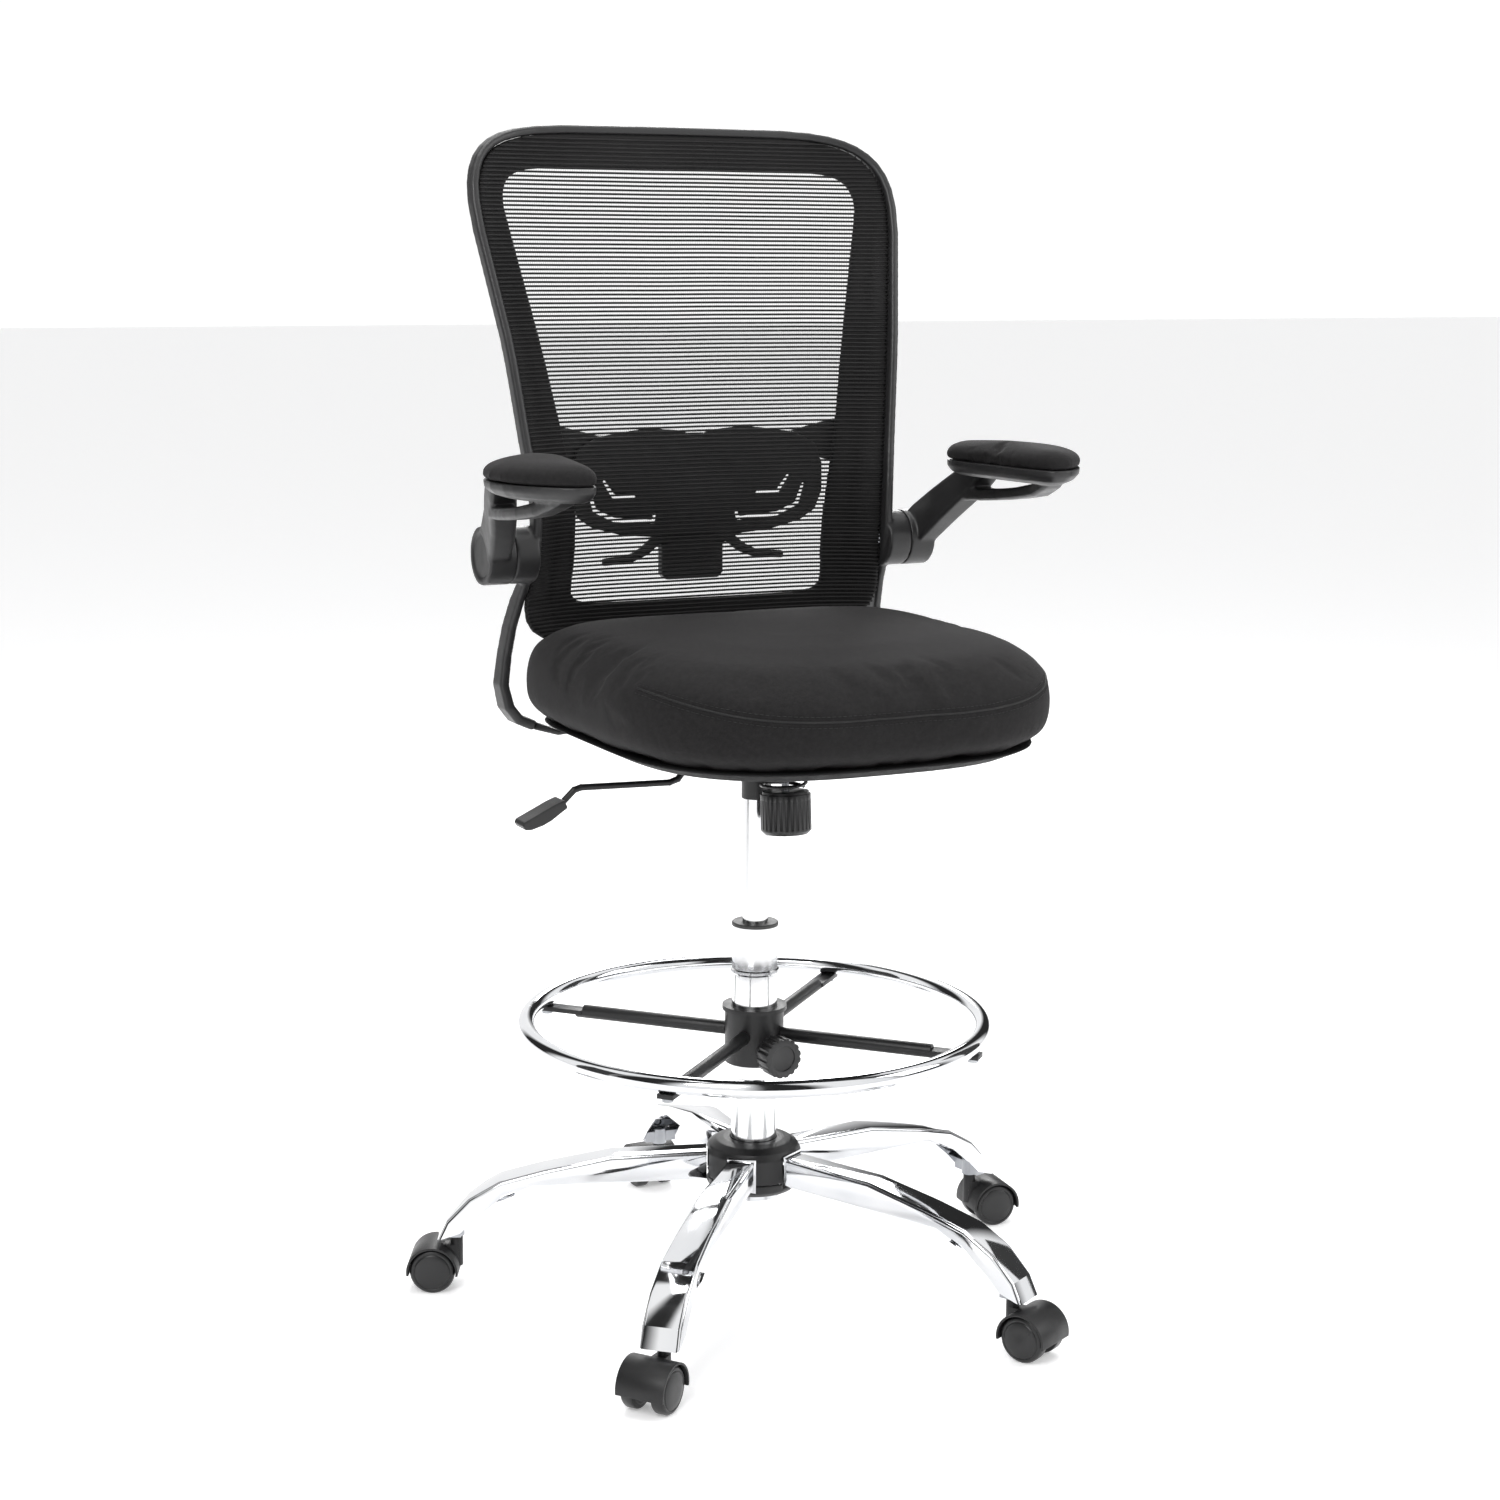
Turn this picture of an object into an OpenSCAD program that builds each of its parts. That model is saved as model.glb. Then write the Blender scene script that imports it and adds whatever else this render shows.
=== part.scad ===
// Drafting chair with a swivel base, foot ring, gas lift, tilting seat, mesh back and flip-up arms.
// Millimetres. +Z is up, the sitter faces -Y, and the origin is on the floor under the column.

/* [Base] */
// Number of legs and casters
leg_count = 5; // [5:5]
// Radius from the column to each caster stem
caster_radius = 330; // [270:5:420]
// Direction of the first leg, degrees from +X
first_leg = 12; // [0:1:71]
// Width of a leg at the hub
leg_hub_w = 28; // [24:1:36]
// Width of a leg at the caster
leg_end_w = 43; // [36:1:52]
// Thickness of the leg steel
leg_wall = 2; // [1.2:0.1:3]
// Height of the top of each leg at the hub
leg_top_z = 161; // [150:1:200]
// Depth of a leg at the hub
leg_depth = 33; // [26:1:40]
// Outside diameter of the hub cover
cover_d = 106; // [90:1:130]
// Thickness of the plastic covers
cover_wall = 2.5; // [1.5:0.1:4]

/* [Casters] */
// Diameter of a caster wheel
wheel_d = 50; // [40:1:60]
// Width of one wheel
wheel_w = 18; // [12:1:20]
// Gap between the two wheels of a caster
wheel_gap = 17; // [15:1:20]
// Distance from the stem to the axle, seen from above
trail = 25; // [18:1:30]
// Diameter of the caster stem
stem_d = 11; // [8:0.5:12]
// Diameter of the wheel axle
axle_d = 6; // [5:0.5:8]

/* [Column] */
// Outside diameter of the extension tube and of the gas cylinder
tube_d = 50; // [44:1:56]
// Outside diameter of the pressure tube
lift_d = 28; // [24:1:32]
// Diameter of the piston rod
rod_d = 10; // [8:0.5:12]
// Height of the top of the extension tube
extension_top_z = 368; // [350:2:440]
// Length of gas cylinder that stands out of the extension tube
cylinder_up = 48; // [30:1:80]
// Free length of pressure tube between the column and the mechanism
lift_free = 138; // [100:1:200]

/* [Foot ring] */
// Radius of the foot ring to the middle of its tube
ring_radius = 251; // [200:1:300]
// Diameter of the foot ring tube
ring_tube_d = 19; // [16:1:25]
// Height of the middle of the ring tube
ring_z = 307; // [290:1:330]
// Diameter of the ring hub
ring_hub_d = 65; // [60:1:80]
// Length of the ring hub
ring_hub_h = 64; // [50:1:80]
// Number of spokes
spoke_count = 4; // [3:1:6]
// Diameter of a spoke
spoke_d = 15; // [12:1:18]
// Direction of the first spoke, degrees from +X
first_spoke = 43; // [30:1:60]
// Diameter of the clamp knob
clamp_knob_d = 44; // [36:1:56]

/* [Seat] */
// Width of the seat cushion
seat_w = 496; // [420:2:600]
// Distance from the column to the front of the seat
seat_front = 338; // [280:2:410]
// Distance from the column to the rear of the seat
seat_rear = 150; // [110:2:170]
// Thickness of the seat cushion at its edge
seat_thick = 87; // [60:1:120]
// How far the middle of the seat rises over its edge
seat_crown = 16; // [6:1:30]
// Thickness of the seat board
pan_t = 12; // [8:1:18]
// How far the underside of the seat board lies inside the cushion edge
pan_inset = 46; // [30:1:70]

/* [Back] */
// Height of the back over the seat board
back_h = 655; // [560:5:780]
// Width of the back across the shoulders
back_shoulder_w = 522; // [470:2:640]
// Width of the back at the waist
back_waist_w = 438; // [400:2:460]
// Width of the edge band of the back frame
band_t = 9; // [7:0.5:12]
// Depth of the edge band of the back frame
band_d = 18; // [14:1:30]
// Width of the covered border beside the mesh, at the shoulders
border_high = 33; // [26:1:50]
// Width of the covered border beside the mesh, at the waist
border_low = 60; // [36:1:64]
// Width of the covered border at the top
border_top = 36; // [30:1:56]
// Width of the covered border at the bottom
border_bottom = 45; // [36:1:70]
// Thickness of the mesh frame
mesh_frame_t = 9; // [7:1:12]
// Thickness of the mesh
mesh_t = 1.2; // [0.8:0.1:2]

/* [Arms] */
// Distance from the inner face of an arm hub out to the line through both ends of its pad
pad_out = 24; // [18:0.5:40]
// Length of an arm pad
pad_l = 192; // [160:2:240]
// Width of an arm pad at its ends
pad_w = 60; // [48:1:76]
// How far the outer side of an arm pad bows out
pad_bow = 42; // [20:1:60]
// Thickness of an arm pad
pad_t = 20; // [14:1:28]
// Width of the arm hub
arm_hub_w = 30; // [24:1:40]
// Diameter of the arm hub
arm_hub_d = 63; // [54:1:72]
// Diameter of the arm pivot pin
arm_pin_d = 16; // [12:1:20]

/* [Clearances] */
// Running clearance round a shaft, on the radius
run = 0.05; // [0.03:0.01:0.08]
// Gap between pieces that move past each other
gap = 0.5; // [0.3:0.1:0.8]

/* [Hidden] */
$fn = 48;

// Colours
chrome = "#c8ccd0";
black_plastic = "#2b2b2d";
grey_plastic = "#3a3a3c";
black_fabric = "#1c1a1b";
steel = "#8f9296";

// Base
leg_step = 360 / leg_count;
leg_end_r = caster_radius + 20;
hub_tube_r = tube_d / 2 + 5;
hub_bottom_z = leg_top_z - leg_depth - 20;
hub_top_z = leg_top_z + 8;
cover_split_z = leg_top_z - 28;
cover_top_z = leg_top_z + 13;
cover_bottom_z = leg_top_z - leg_depth - 10;
// Direction in which each caster trails at rest
caster_rest = [-6, 91, 153, -143, -63];

// Casters
wheel_r = wheel_d / 2;
axle_z = wheel_r;
hood_gap = 1.2;
hood_wall = 2.4;
hood_r = wheel_r + hood_gap + hood_wall;
neck_top_z = axle_z + hood_r + 7;
neck_d = stem_d + 3;
socket_d = 18;
socket_bottom_z = neck_top_z + gap;
socket_top_z = neck_top_z + 19;
stem_top_z = neck_top_z + 18.5;
web_w = wheel_gap - 2;
// Side view of a leg: distance from the caster, height under the top of the leg at the hub
leg_top_line = [[-278, 0], [-171, -5], [-98, -20], [-49, -33], [-15, -53], [10, -79], [20, -100]];
leg_low_line = [[-5, -92], [-20, -77], [-45, -56], [-85, -39], [-171, -36], [-278, -33]];
leg_open_r = caster_radius - 62;

// Column
cylinder_top_z = extension_top_z + cylinder_up;
column_top_z = cylinder_top_z + 4;
cylinder_wall = 1.5;
tube_wall = 2.4;
cylinder_low_r = tube_d / 2 - tube_wall;
cylinder_floor_z = hub_bottom_z + 8;
bearing_top_z = cylinder_floor_z + 12;
bush_r = tube_d / 2 - cylinder_wall;
bush_l = 46;
lift_r = lift_d / 2;
lift_wall = 2;

// Mechanism
mech_socket_z = column_top_z + lift_free;
lift_top_z = mech_socket_z + 40;
lift_bottom_z = mech_socket_z - 290;
rod_top_z = bearing_top_z + 222;
lift_head = 14;
lift_plug = 12;
socket_wall = 2.2;
mech_z = mech_socket_z + 30;
mech_top_z = mech_z + 39;
mech_w = 96;
mech_front_y = -34;
mech_rear_y = 48;
tilt_y = 36;
tilt_z = mech_z + 20;
tilt_pin_d = 10;
cheek_t = 3;
cheek_x = mech_w / 2 + gap;
plate_z = mech_top_z + 4;
plate_t = 4;
plate_w = 150;
plate_front_y = -112;
plate_rear_y = 100;
seat_base_z = plate_z + plate_t;
back_base_z = seat_base_z - 15;
shelf_z = mech_z + 24;
shelf_t = 5;
tongue_w = 62;
tongue_front_y = -102;

// Tension knob
knob_y = -65;
knob_d = 54;
knob_h = 43;
knob_lean = 4.5;
knob_top_z = mech_z - 13;
bolt_d = 8;
washer_t = 3;
spring_turns = 4;
spring_wire = 4;

// Lever
lever_d = 7;
lever_pivot_x = -42;
lever_pin_d = 4;
valve_d = 8;
valve_top_z = lift_top_z + 5;
lever_z = valve_top_z + lever_d / 2 + 0.3;
lever_points = [[8, 0], [-70, 0], [-82, -7], [-94, -21], [-104, -24], [-206, -21], [-214, -23],
    [-226, -34]];
handle_l = 52;
handle_w = 26;

// Seat
seat_front_power = 2.9;
seat_rear_power = 6;
seat_mid_y = (seat_rear - seat_front) / 2;
seat_half_d = (seat_rear + seat_front) / 2;
seat_half_w = seat_w / 2;
cushion_z = seat_base_z + pan_t;
bracket_hole_x = back_waist_w / 2 - 110;
bracket_hole_y = seat_rear - 88;
bracket_hole_dy = 12;
seat_front_drop = 11;
pan_top_inset = pan_inset - 26;

// Back, as height over the seat board, for a back of the first height
back_size = back_h / 655;
back_centre_y = [[90, 158], [150, 154], [200, 150], [265, 144], [310, 146], [430, 173], [570, 200],
    [655, 220]];
back_wrap = [[90, 38], [150, 38], [200, 50], [265, 46], [310, 39], [430, 45], [570, 31], [655, 30]];
back_half = [[90, 14], [150, 8], [200, 0], [265, 0], [310, 6], [430, 21], [580, 45], [655, 50]];
back_shift = seat_rear - 150;
back_corner_h = 430;
back_low_h = 200;
back_mid_h = 300;
back_bottom_h = 92;
back_power = 6;
window_power = 10;
side_flare = (back_shoulder_w - back_waist_w) / 90;
frame_shadow = 0.8;

// Arm pivot and the side supports that run down from it
arm_pivot_y = 121 + back_shift;
arm_pivot_h = 200;
arm_pivot_z = back_base_z + arm_pivot_h * back_size;
arm_hub_in = 240.4 + (back_waist_w - 438) / 2;
arm_hub_out = arm_hub_in + arm_hub_w;
arm_x = arm_hub_in + pad_out;
boss_in = back_waist_w / 2 - 6;
// Side support, bottom to pivot: [out from the waist, behind the seat, height, half thickness, half depth]
support_path = [[-16, 0, 9, 5.5, 15], [0, 5, 16, 5.5, 16], [11, 4, 30, 5.5, 15], [15, 8, 54, 5.3, 13],
                [10.5, 9, 86, 5, 12], [6.5, 3, 118, 4.8, 12], [2.5, -10, 148, 4.6, 12],
                    [-0.5, -26, 172, 4.5, 10]];
// Steel bracket from under the seat board out to the side support
bracket_path = [[-120, -94, 11.7, 3, 22], [-82, -68, 11.7, 3, 22], [-56, -45, 11.7, 3, 19],
    [-34, -22, 4, 3, 16],
                [-17.6, -1.2, 8.4, 4, 14]];

// Lists and places used by the modules below
// Keys of the points round the outline of the back: top arc, one side, bottom arc, other side
outline_keys = concat(
    [for (t = [0:7.5:180]) [1, t]],
    [for (i = [1:5]) [0, -1, i / 6]],
    [for (t = [180:12:360]) [-1, t]],
    [for (i = [1:5]) [0, 1, 1 - i / 6]]);
ring_hub_z = ring_z - 45;
clamp_z = ring_z - 27;
clamp_dir = -87;
spoke_z = ring_z - 12;
tab_t = 5;
lever_bar = [for (p = lever_points) [p[0], 0, lever_z + p[1]]];
pan_holes = concat(
    [for (x = [-60, 60]) for (y = [plate_front_y + 14, plate_rear_y - 14]) [x, y, plate_z]],
    [for (s = [-1, 1]) for (d = [-1, 1])
        [s * bracket_hole_x, bracket_hole_y + d * bracket_hole_dy, seat_base_z - 6.3]]);
side_part = [for (h = [206:28:402]) edge_row(back_x(h * back_size) - band_t / 2, h * back_size)];
top_part = [for (t = [0:7.5:90])
    let (low = back_corner_h * back_size,
         s = super_xy(1, 1, back_power, t),
         k = low + (back_h - low - band_t / 2) * s[1])
    edge_row((back_x(k) - band_t / 2) * s[0], k)];
half_frame = concat(support_rows(support_path), side_part, top_part);
frame_rows = concat(half_frame,
    [for (i = [len(half_frame) - 2:-1:0])
        let (p = half_frame[i][0])
        [[-p[0], p[1], p[2]], half_frame[i][1], half_frame[i][2]]]);
bridge_z = back_base_z + 310 * back_size;
lumbar_z = back_base_z + 267 * back_size;
lumbar_y = 156.5 + back_shift;
bridge_y = 163.5 + back_shift;
bridge_half = back_waist_w / 2 - 30;
// Outline of the right half of the lumbar pad, from the notch at the top to the middle of the bottom
pad_edge = [[0, 52], [6, 52], [16, 58], [60, 62], [120, 54], [146, 40], [154, 18], [154, -14], [146, -34],
            [128, -46], [90, -56], [44, -60], [0, -60]];
pad_power = 3.2;
pad_taper = 0.2;
pad_skew = 7;
pad_rear_y = arm_pivot_y - 100;
pad_mid_y = pad_rear_y - pad_l / 2;
pad_z = arm_pivot_z + 97.6;
tray_t = 17;
// Strut up from the hub, and the rib that makes the finger slot under the tray
arm_strut = [[17, 4, -3, 12, 22], [21, -24, 20, 13, 22], [28, -52, 41, 14, 20], [37, -78, 61, 15, 18],
             [45, -100, 79, 15, 15], [50, -118, 89, 14, 8.5]];
arm_rib = [[37, -74, 58, 13, 12], [42, -92, 57, 13.5, 8], [46, -118, 57, 13.5, 6.5],
    [49, -150, 60, 13.5, 6.5],
           [50, -185, 64.5, 13.5, 6.5], [48, -222, 71, 13, 7], [42, -254, 82, 12, 7],
               [36, -272, 90, 10, 5.5]];

// ---------------------------------------------------------------- functions

// Index of the row of a table that holds v
function row_of(table, v, i = 0) = i >= len(table) - 2 || v < table[i + 1][0] ? i : row_of(table, v,
    i + 1);

// Slope of a table at row i
function slope_at(table, i) =
    let (a = max(i - 1, 0), b = min(i + 1, len(table) - 1))
    (table[b][1] - table[a][1]) / (table[b][0] - table[a][0]);

// Smooth curve through the rows [v, value] of a table
function smooth(table, v) =
    let (i = row_of(table, v), h = table[i + 1][0] - table[i][0], f = (v - table[i][0]) / h)
    table[i][1] * (1 - 3 * f * f + 2 * f * f * f) + table[i + 1][1] * (3 * f * f - 2 * f * f * f)
    + slope_at(table, i) * h * (f - 2 * f * f + f * f * f)
    + slope_at(table, i + 1) * h * (f * f * f - f * f);

// Point of a rounded rectangle with half sizes a and b at angle t
function super_xy(a, b, power, t) =
    [a * sign(cos(t)) * pow(abs(cos(t)), 2 / power), b * sign(sin(t)) * pow(abs(sin(t)), 2 / power)];

function unit(v) = v / norm(v);

// Half width and depth of the back at a height over the seat board
function back_x(h) = back_waist_w / 2 + side_flare * smooth(back_half, h / back_size);
function back_y(x, h) =
    back_shift + smooth(back_centre_y, h / back_size)
    - smooth(back_wrap, h / back_size) * pow(min(abs(x) / back_x(h), 1), 5);

// Outline point [x, height] of the back for a key, drawn in by side, top and bottom margins
function back_outline(key, side, top, bottom, power = back_power) =
    let (high = back_corner_h * back_size,
         low = back_low_h * back_size,
         s = key[0] == 0 ? [key[1], 0] : super_xy(1, 1, key[0] > 0 ? power : power - 1, key[1]),
         h = key[0] > 0 ? high + s[1] * (back_h - top - high)
           : key[0] < 0 ? low + s[1] * (low - back_bottom_h * back_size - bottom)
           : high + (low - high) * key[2])
    [(back_x(h) - side) * s[0], h];

// Width of the border beside the mesh at height h
function border_at(h) =
    let (f = (h / back_size - 150) / 420) border_low + (border_high - border_low) * min(max(f, 0), 1);

// Point of the window edge for a key; share runs from 0 at the outer edge to 1 at the window
function border_point(key, share) =
    let (edge = band_t + frame_shadow,
         out = back_outline(key, edge, edge, 0),
         win = back_outline(key, edge + border_at(out[1]), edge + border_top, border_bottom,
             window_power))
    out + (win - out) * share;

// ---------------------------------------------------------------- shape helpers

// Closed solid through a list of rings that have the same number of points
module skin(rings) {
    n = len(rings[0]);
    m = len(rings);
    function middle(r) = [for (k = [0:2]) (max([for (p = r) p[k]]) + min([for (p = r) p[k]])) / 2];
    points = [for (r = rings) each r, middle(rings[0]), middle(rings[m - 1])];
    faces = [
        for (i = [0:m - 2]) for (j = [0:n - 1])
            let (a = i * n + j, b = i * n + (j + 1) % n, c = b + n, d = a + n)
            each [[a, b, c], [a, c, d]],
        for (j = [0:n - 1]) [(j + 1) % n, j, n * m],
        for (j = [0:n - 1]) [(m - 1) * n + j, (m - 1) * n + (j + 1) % n, n * m + 1]];
    polyhedron(points, faces, convexity = 10);
}

// Closed loop through a list of rings, joined end to end
module loop_skin(rings) {
    n = len(rings[0]);
    m = len(rings);
    faces = [for (i = [0:m - 1]) for (j = [0:n - 1])
        let (a = i * n + j, b = i * n + (j + 1) % n, e = ((i + 1) % m) * n, c = e + (j + 1) % n,
            d = e + j)
        each [[a, b, c], [a, c, d]]];
    polyhedron([for (r = rings) each r], faces, convexity = 10);
}

// Round bar between two points
module bar(p, q, d) {
    v = q - p;
    translate(p)
        rotate([0, acos(v[2] / norm(v)), atan2(v[1], v[0])])
            cylinder(h = norm(v), d = d);
}

module ring_of(r_out, r_in, h) {
    difference() {
        cylinder(h = h, r = r_out);
        translate([0, 0, -1]) cylinder(h = h + 2, r = r_in);
    }
}

// Draws a child once for each side of the chair
module both_sides() {
    children();
    mirror([1, 0, 0]) children();
}

// ---------------------------------------------------------------- base

module leg_side(shrink, from_r) {
    polygon([
        for (p = leg_top_line) [max(caster_radius + p[0] - (p[0] > 0 ? shrink : 0), from_r),
                                leg_top_z + p[1] - shrink],
        for (p = leg_low_line) [max(caster_radius + p[0], from_r), leg_top_z + p[1] + shrink]]);
}

module leg_plan(shrink) {
    crease_r = caster_radius - 55;
    a = leg_hub_w / 2 - shrink;
    b = leg_end_w / 2 - 1 - shrink;
    c = leg_end_w / 2 - shrink;
    polygon([[0, -a], [crease_r, -b], [leg_end_r + 1, -c], [leg_end_r + 1, c], [crease_r, b], [0, a]]);
}

module leg_block(shrink, from_r) {
    intersection() {
        rotate([90, 0, 0]) translate([0, 0, -40]) linear_extrude(80) leg_side(shrink, from_r);
        linear_extrude(leg_top_z + 10) leg_plan(shrink);
    }
}

// Hollow under the open, turned-down end of a leg
module leg_mouth() {
    intersection() {
        rotate([90, 0, 0]) translate([0, 0, -40]) linear_extrude(80)
            polygon([
                for (p = leg_top_line) if (p[0] > -60)
                    [caster_radius + p[0] - 2 * leg_wall, leg_top_z + p[1] - leg_wall],
                [leg_end_r - 2 * leg_wall, 0], [leg_open_r, 0], [leg_open_r, leg_top_z - 34]]);
        linear_extrude(leg_top_z + 10) leg_plan(leg_wall);
    }
}

module base_leg() {
    difference() {
        leg_block(0, 10);
        cylinder(h = leg_top_z + 20, r = hub_tube_r);
        intersection() {
            leg_block(leg_wall, hub_tube_r + 3);
            translate([0, -40, 0]) cube([leg_open_r - 4, 80, leg_top_z + 10]);
        }
        leg_mouth();
    }
}

module base_legs() {
    color(chrome) for (i = [0:leg_count - 1]) rotate(first_leg + i * leg_step) base_leg();
}

module base_hub_tube() {
    color(steel) translate([0, 0, hub_bottom_z])
        ring_of(hub_tube_r, tube_d / 2, hub_top_z - hub_bottom_z);
}

module caster_sockets() {
    color(chrome) for (i = [0:leg_count - 1]) rotate(first_leg + i * leg_step)
        translate([caster_radius, 0, 0])
        difference() {
            intersection() {
                union() {
                    translate([0, 0, socket_bottom_z])
                        cylinder(h = socket_top_z - socket_bottom_z, d = socket_d);
                    translate([-6, -leg_end_w / 2, socket_bottom_z + 3])
                        cube([12, leg_end_w, socket_top_z - socket_bottom_z - 6]);
                }
                translate([-caster_radius, 0, 0]) leg_mouth();
            }
            cylinder(h = socket_top_z + 5, r = stem_d / 2 + run);
        }
}

// Openings for the legs in a hub cover
module leg_slots(from_z, to_z) {
    for (i = [0:leg_count - 1]) rotate(first_leg + i * leg_step)
        translate([0, 0, from_z]) linear_extrude(to_z - from_z) intersection() {
            leg_plan(-gap);
            translate([20, -leg_hub_w]) square([60, 2 * leg_hub_w]);
        }
}

module hub_cover_upper() {
    r = cover_d / 2;
    hole_r = tube_d / 2 + gap;
    color(black_plastic) difference() {
        rotate_extrude() difference() {
            polygon([[hole_r, cover_split_z], [r, cover_split_z], [r, cover_top_z - 14],
                [r - 3, cover_top_z - 7],
                     [r - 11, cover_top_z - 2], [r - 20, cover_top_z], [hole_r, cover_top_z]]);
            polygon([[hole_r - 5, cover_split_z - 1], [r - cover_wall, cover_split_z - 1],
                     [r - cover_wall, cover_top_z - 14], [r - cover_wall - 3, cover_top_z - 9],
                     [r - 13, cover_top_z - 2 - cover_wall], [hole_r - 5, cover_top_z - cover_wall]]);
        }
        leg_slots(cover_split_z - 1, leg_top_z + 1);
    }
}

module hub_cover_lower() {
    r = cover_d / 2;
    hole_r = hub_tube_r + gap;
    color(black_plastic) difference() {
        rotate_extrude() difference() {
            polygon([[hole_r, cover_bottom_z], [r - 7, cover_bottom_z], [r - 2, cover_bottom_z + 5],
                     [r, cover_bottom_z + 12], [r, cover_split_z - gap], [hole_r, cover_split_z - gap]]);
            polygon([[hole_r - 5, cover_bottom_z + cover_wall], [r - 8, cover_bottom_z + cover_wall],
                     [r - cover_wall, cover_bottom_z + 12], [r - cover_wall, cover_split_z],
                         [hole_r - 5, cover_split_z]]);
        }
        leg_slots(leg_top_z - leg_depth - 1, cover_split_z + 1);
    }
}

// ---------------------------------------------------------------- column

module column_tube() {
    lip = 1.5;
    floor_z = hub_bottom_z + 2;
    color(chrome) rotate_extrude()
        polygon([[cylinder_low_r, floor_z], [tube_d / 2, floor_z], [tube_d / 2, extension_top_z - 6],
                 [tube_d / 2 + lip, extension_top_z - 4], [tube_d / 2 + lip, extension_top_z - 1],
                 [tube_d / 2, extension_top_z], [cylinder_low_r, extension_top_z]]);
}

module gas_cylinder() {
    r = tube_d / 2;
    color(chrome) rotate_extrude()
        polygon([[rod_d / 2 + 1, cylinder_floor_z], [cylinder_low_r, cylinder_floor_z],
                 [cylinder_low_r, extension_top_z + 0.2], [r, extension_top_z + 0.2], [r, cylinder_top_z],
                 [bush_r, cylinder_top_z], [bush_r, cylinder_top_z - bush_l],
                 [cylinder_low_r - cylinder_wall, cylinder_top_z - bush_l - 4],
                 [cylinder_low_r - cylinder_wall, cylinder_floor_z + 3],
                     [rod_d / 2 + 1, cylinder_floor_z + 3]]);
}

module column_bush() {
    in_r = lift_r + run;
    color(black_plastic) rotate_extrude()
        polygon([[in_r, cylinder_top_z - bush_l + 4], [bush_r, cylinder_top_z - bush_l + 4],
                 [bush_r, cylinder_top_z], [tube_d / 2 + 0.6, cylinder_top_z],
                     [tube_d / 2 + 0.6, column_top_z - 1],
                 [tube_d / 2 - 0.4, column_top_z], [in_r, column_top_z]]);
}

module thrust_bearing() {
    in_r = rod_d / 2 + run;
    seat_z = cylinder_floor_z + 3;
    color(steel) {
        translate([0, 0, seat_z]) ring_of(lift_r, in_r, 2);
        translate([0, 0, seat_z + 2]) ring_of(lift_r - 1, in_r + 2, 3);
        translate([0, 0, seat_z + 5]) ring_of(lift_r, in_r, 2);
        translate([0, 0, cylinder_floor_z - 2]) ring_of(rod_d / 2 + 4, in_r, 1.6);
    }
}

module piston_rod() {
    in_r = lift_r - lift_wall;
    color(steel) {
        translate([0, 0, cylinder_floor_z - 5]) cylinder(h = rod_top_z - cylinder_floor_z + 5, d = rod_d);
        translate([0, 0, cylinder_floor_z - 5]) cylinder(h = 2.6, d = rod_d + 6);
        translate([0, 0, bearing_top_z - 1.8]) cylinder(h = 1.6, d = rod_d + 8);
        translate([0, 0, rod_top_z - 12]) cylinder(h = 12, r = in_r - run);
    }
}

module pressure_tube() {
    in_r = lift_r - lift_wall;
    color(chrome) difference() {
        translate([0, 0, lift_bottom_z]) cylinder(h = lift_top_z - lift_bottom_z, r = lift_r);
        translate([0, 0, lift_bottom_z + lift_plug])
            cylinder(h = lift_top_z - lift_bottom_z - lift_plug - lift_head, r = in_r);
        translate([0, 0, lift_bottom_z - 1]) cylinder(h = lift_plug + 2, r = rod_d / 2 + run);
        translate([0, 0, lift_top_z - lift_head - 1]) cylinder(h = lift_head + 2, r = valve_d / 2 + run);
    }
}

module valve_pin() {
    color(steel) translate([0, 0, lift_top_z - lift_head])
        cylinder(h = valve_top_z - lift_top_z + lift_head, d = valve_d);
}

// ---------------------------------------------------------------- casters

// Draws a child in caster i: +X is the trailing direction, and the stem is the Z axis
module at_caster(i) {
    rotate(first_leg + (i - 1) * leg_step) translate([caster_radius, 0, 0])
        rotate(caster_rest[i - 1] - first_leg - (i - 1) * leg_step) children();
}

module caster_housing(i) {
    hood_w = wheel_gap + 2 * wheel_w + 1;
    color(black_plastic) at_caster(i) difference() {
        union() {
            translate([0, 0, 26]) cylinder(h = neck_top_z - 26, d = neck_d);
            translate([trail, web_w / 2, axle_z]) rotate([90, 0, 0])
                cylinder(h = web_w, r = wheel_r * 0.5);
            translate([0, -web_w / 2, axle_z + 3]) cube([trail, web_w, wheel_r - 2]);
            translate([trail, hood_w / 2, axle_z]) rotate([90, 0, 0]) difference() {
                cylinder(h = hood_w, r = hood_r);
                translate([0, 0, -1]) cylinder(h = hood_w + 2, r = wheel_r + hood_gap);
                translate([-100, -200, -1]) cube([200, 196, hood_w + 2]);
            }
            translate([trail, web_w / 2, axle_z]) rotate([90, 0, 0]) difference() {
                cylinder(h = web_w, r = hood_r);
                translate([-100, -190, -1]) cube([200, 193, web_w + 2]);
            }
        }
        translate([0, 0, 28]) cylinder(h = stem_top_z, d = stem_d);
        translate([trail, web_w, axle_z]) rotate([90, 0, 0]) cylinder(h = 2 * web_w, d = axle_d);
    }
}

module caster_pins(i) {
    color(steel) at_caster(i) {
        translate([0, 0, 28]) cylinder(h = stem_top_z - 28 - 3, d = stem_d);
        translate([0, 0, stem_top_z - 3]) cylinder(h = 3, d1 = stem_d, d2 = stem_d - 4);
        translate([trail, wheel_gap / 2 + wheel_w - 4, axle_z]) rotate([90, 0, 0])
            cylinder(h = wheel_gap + 2 * wheel_w - 8, d = axle_d);
    }
}

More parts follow.
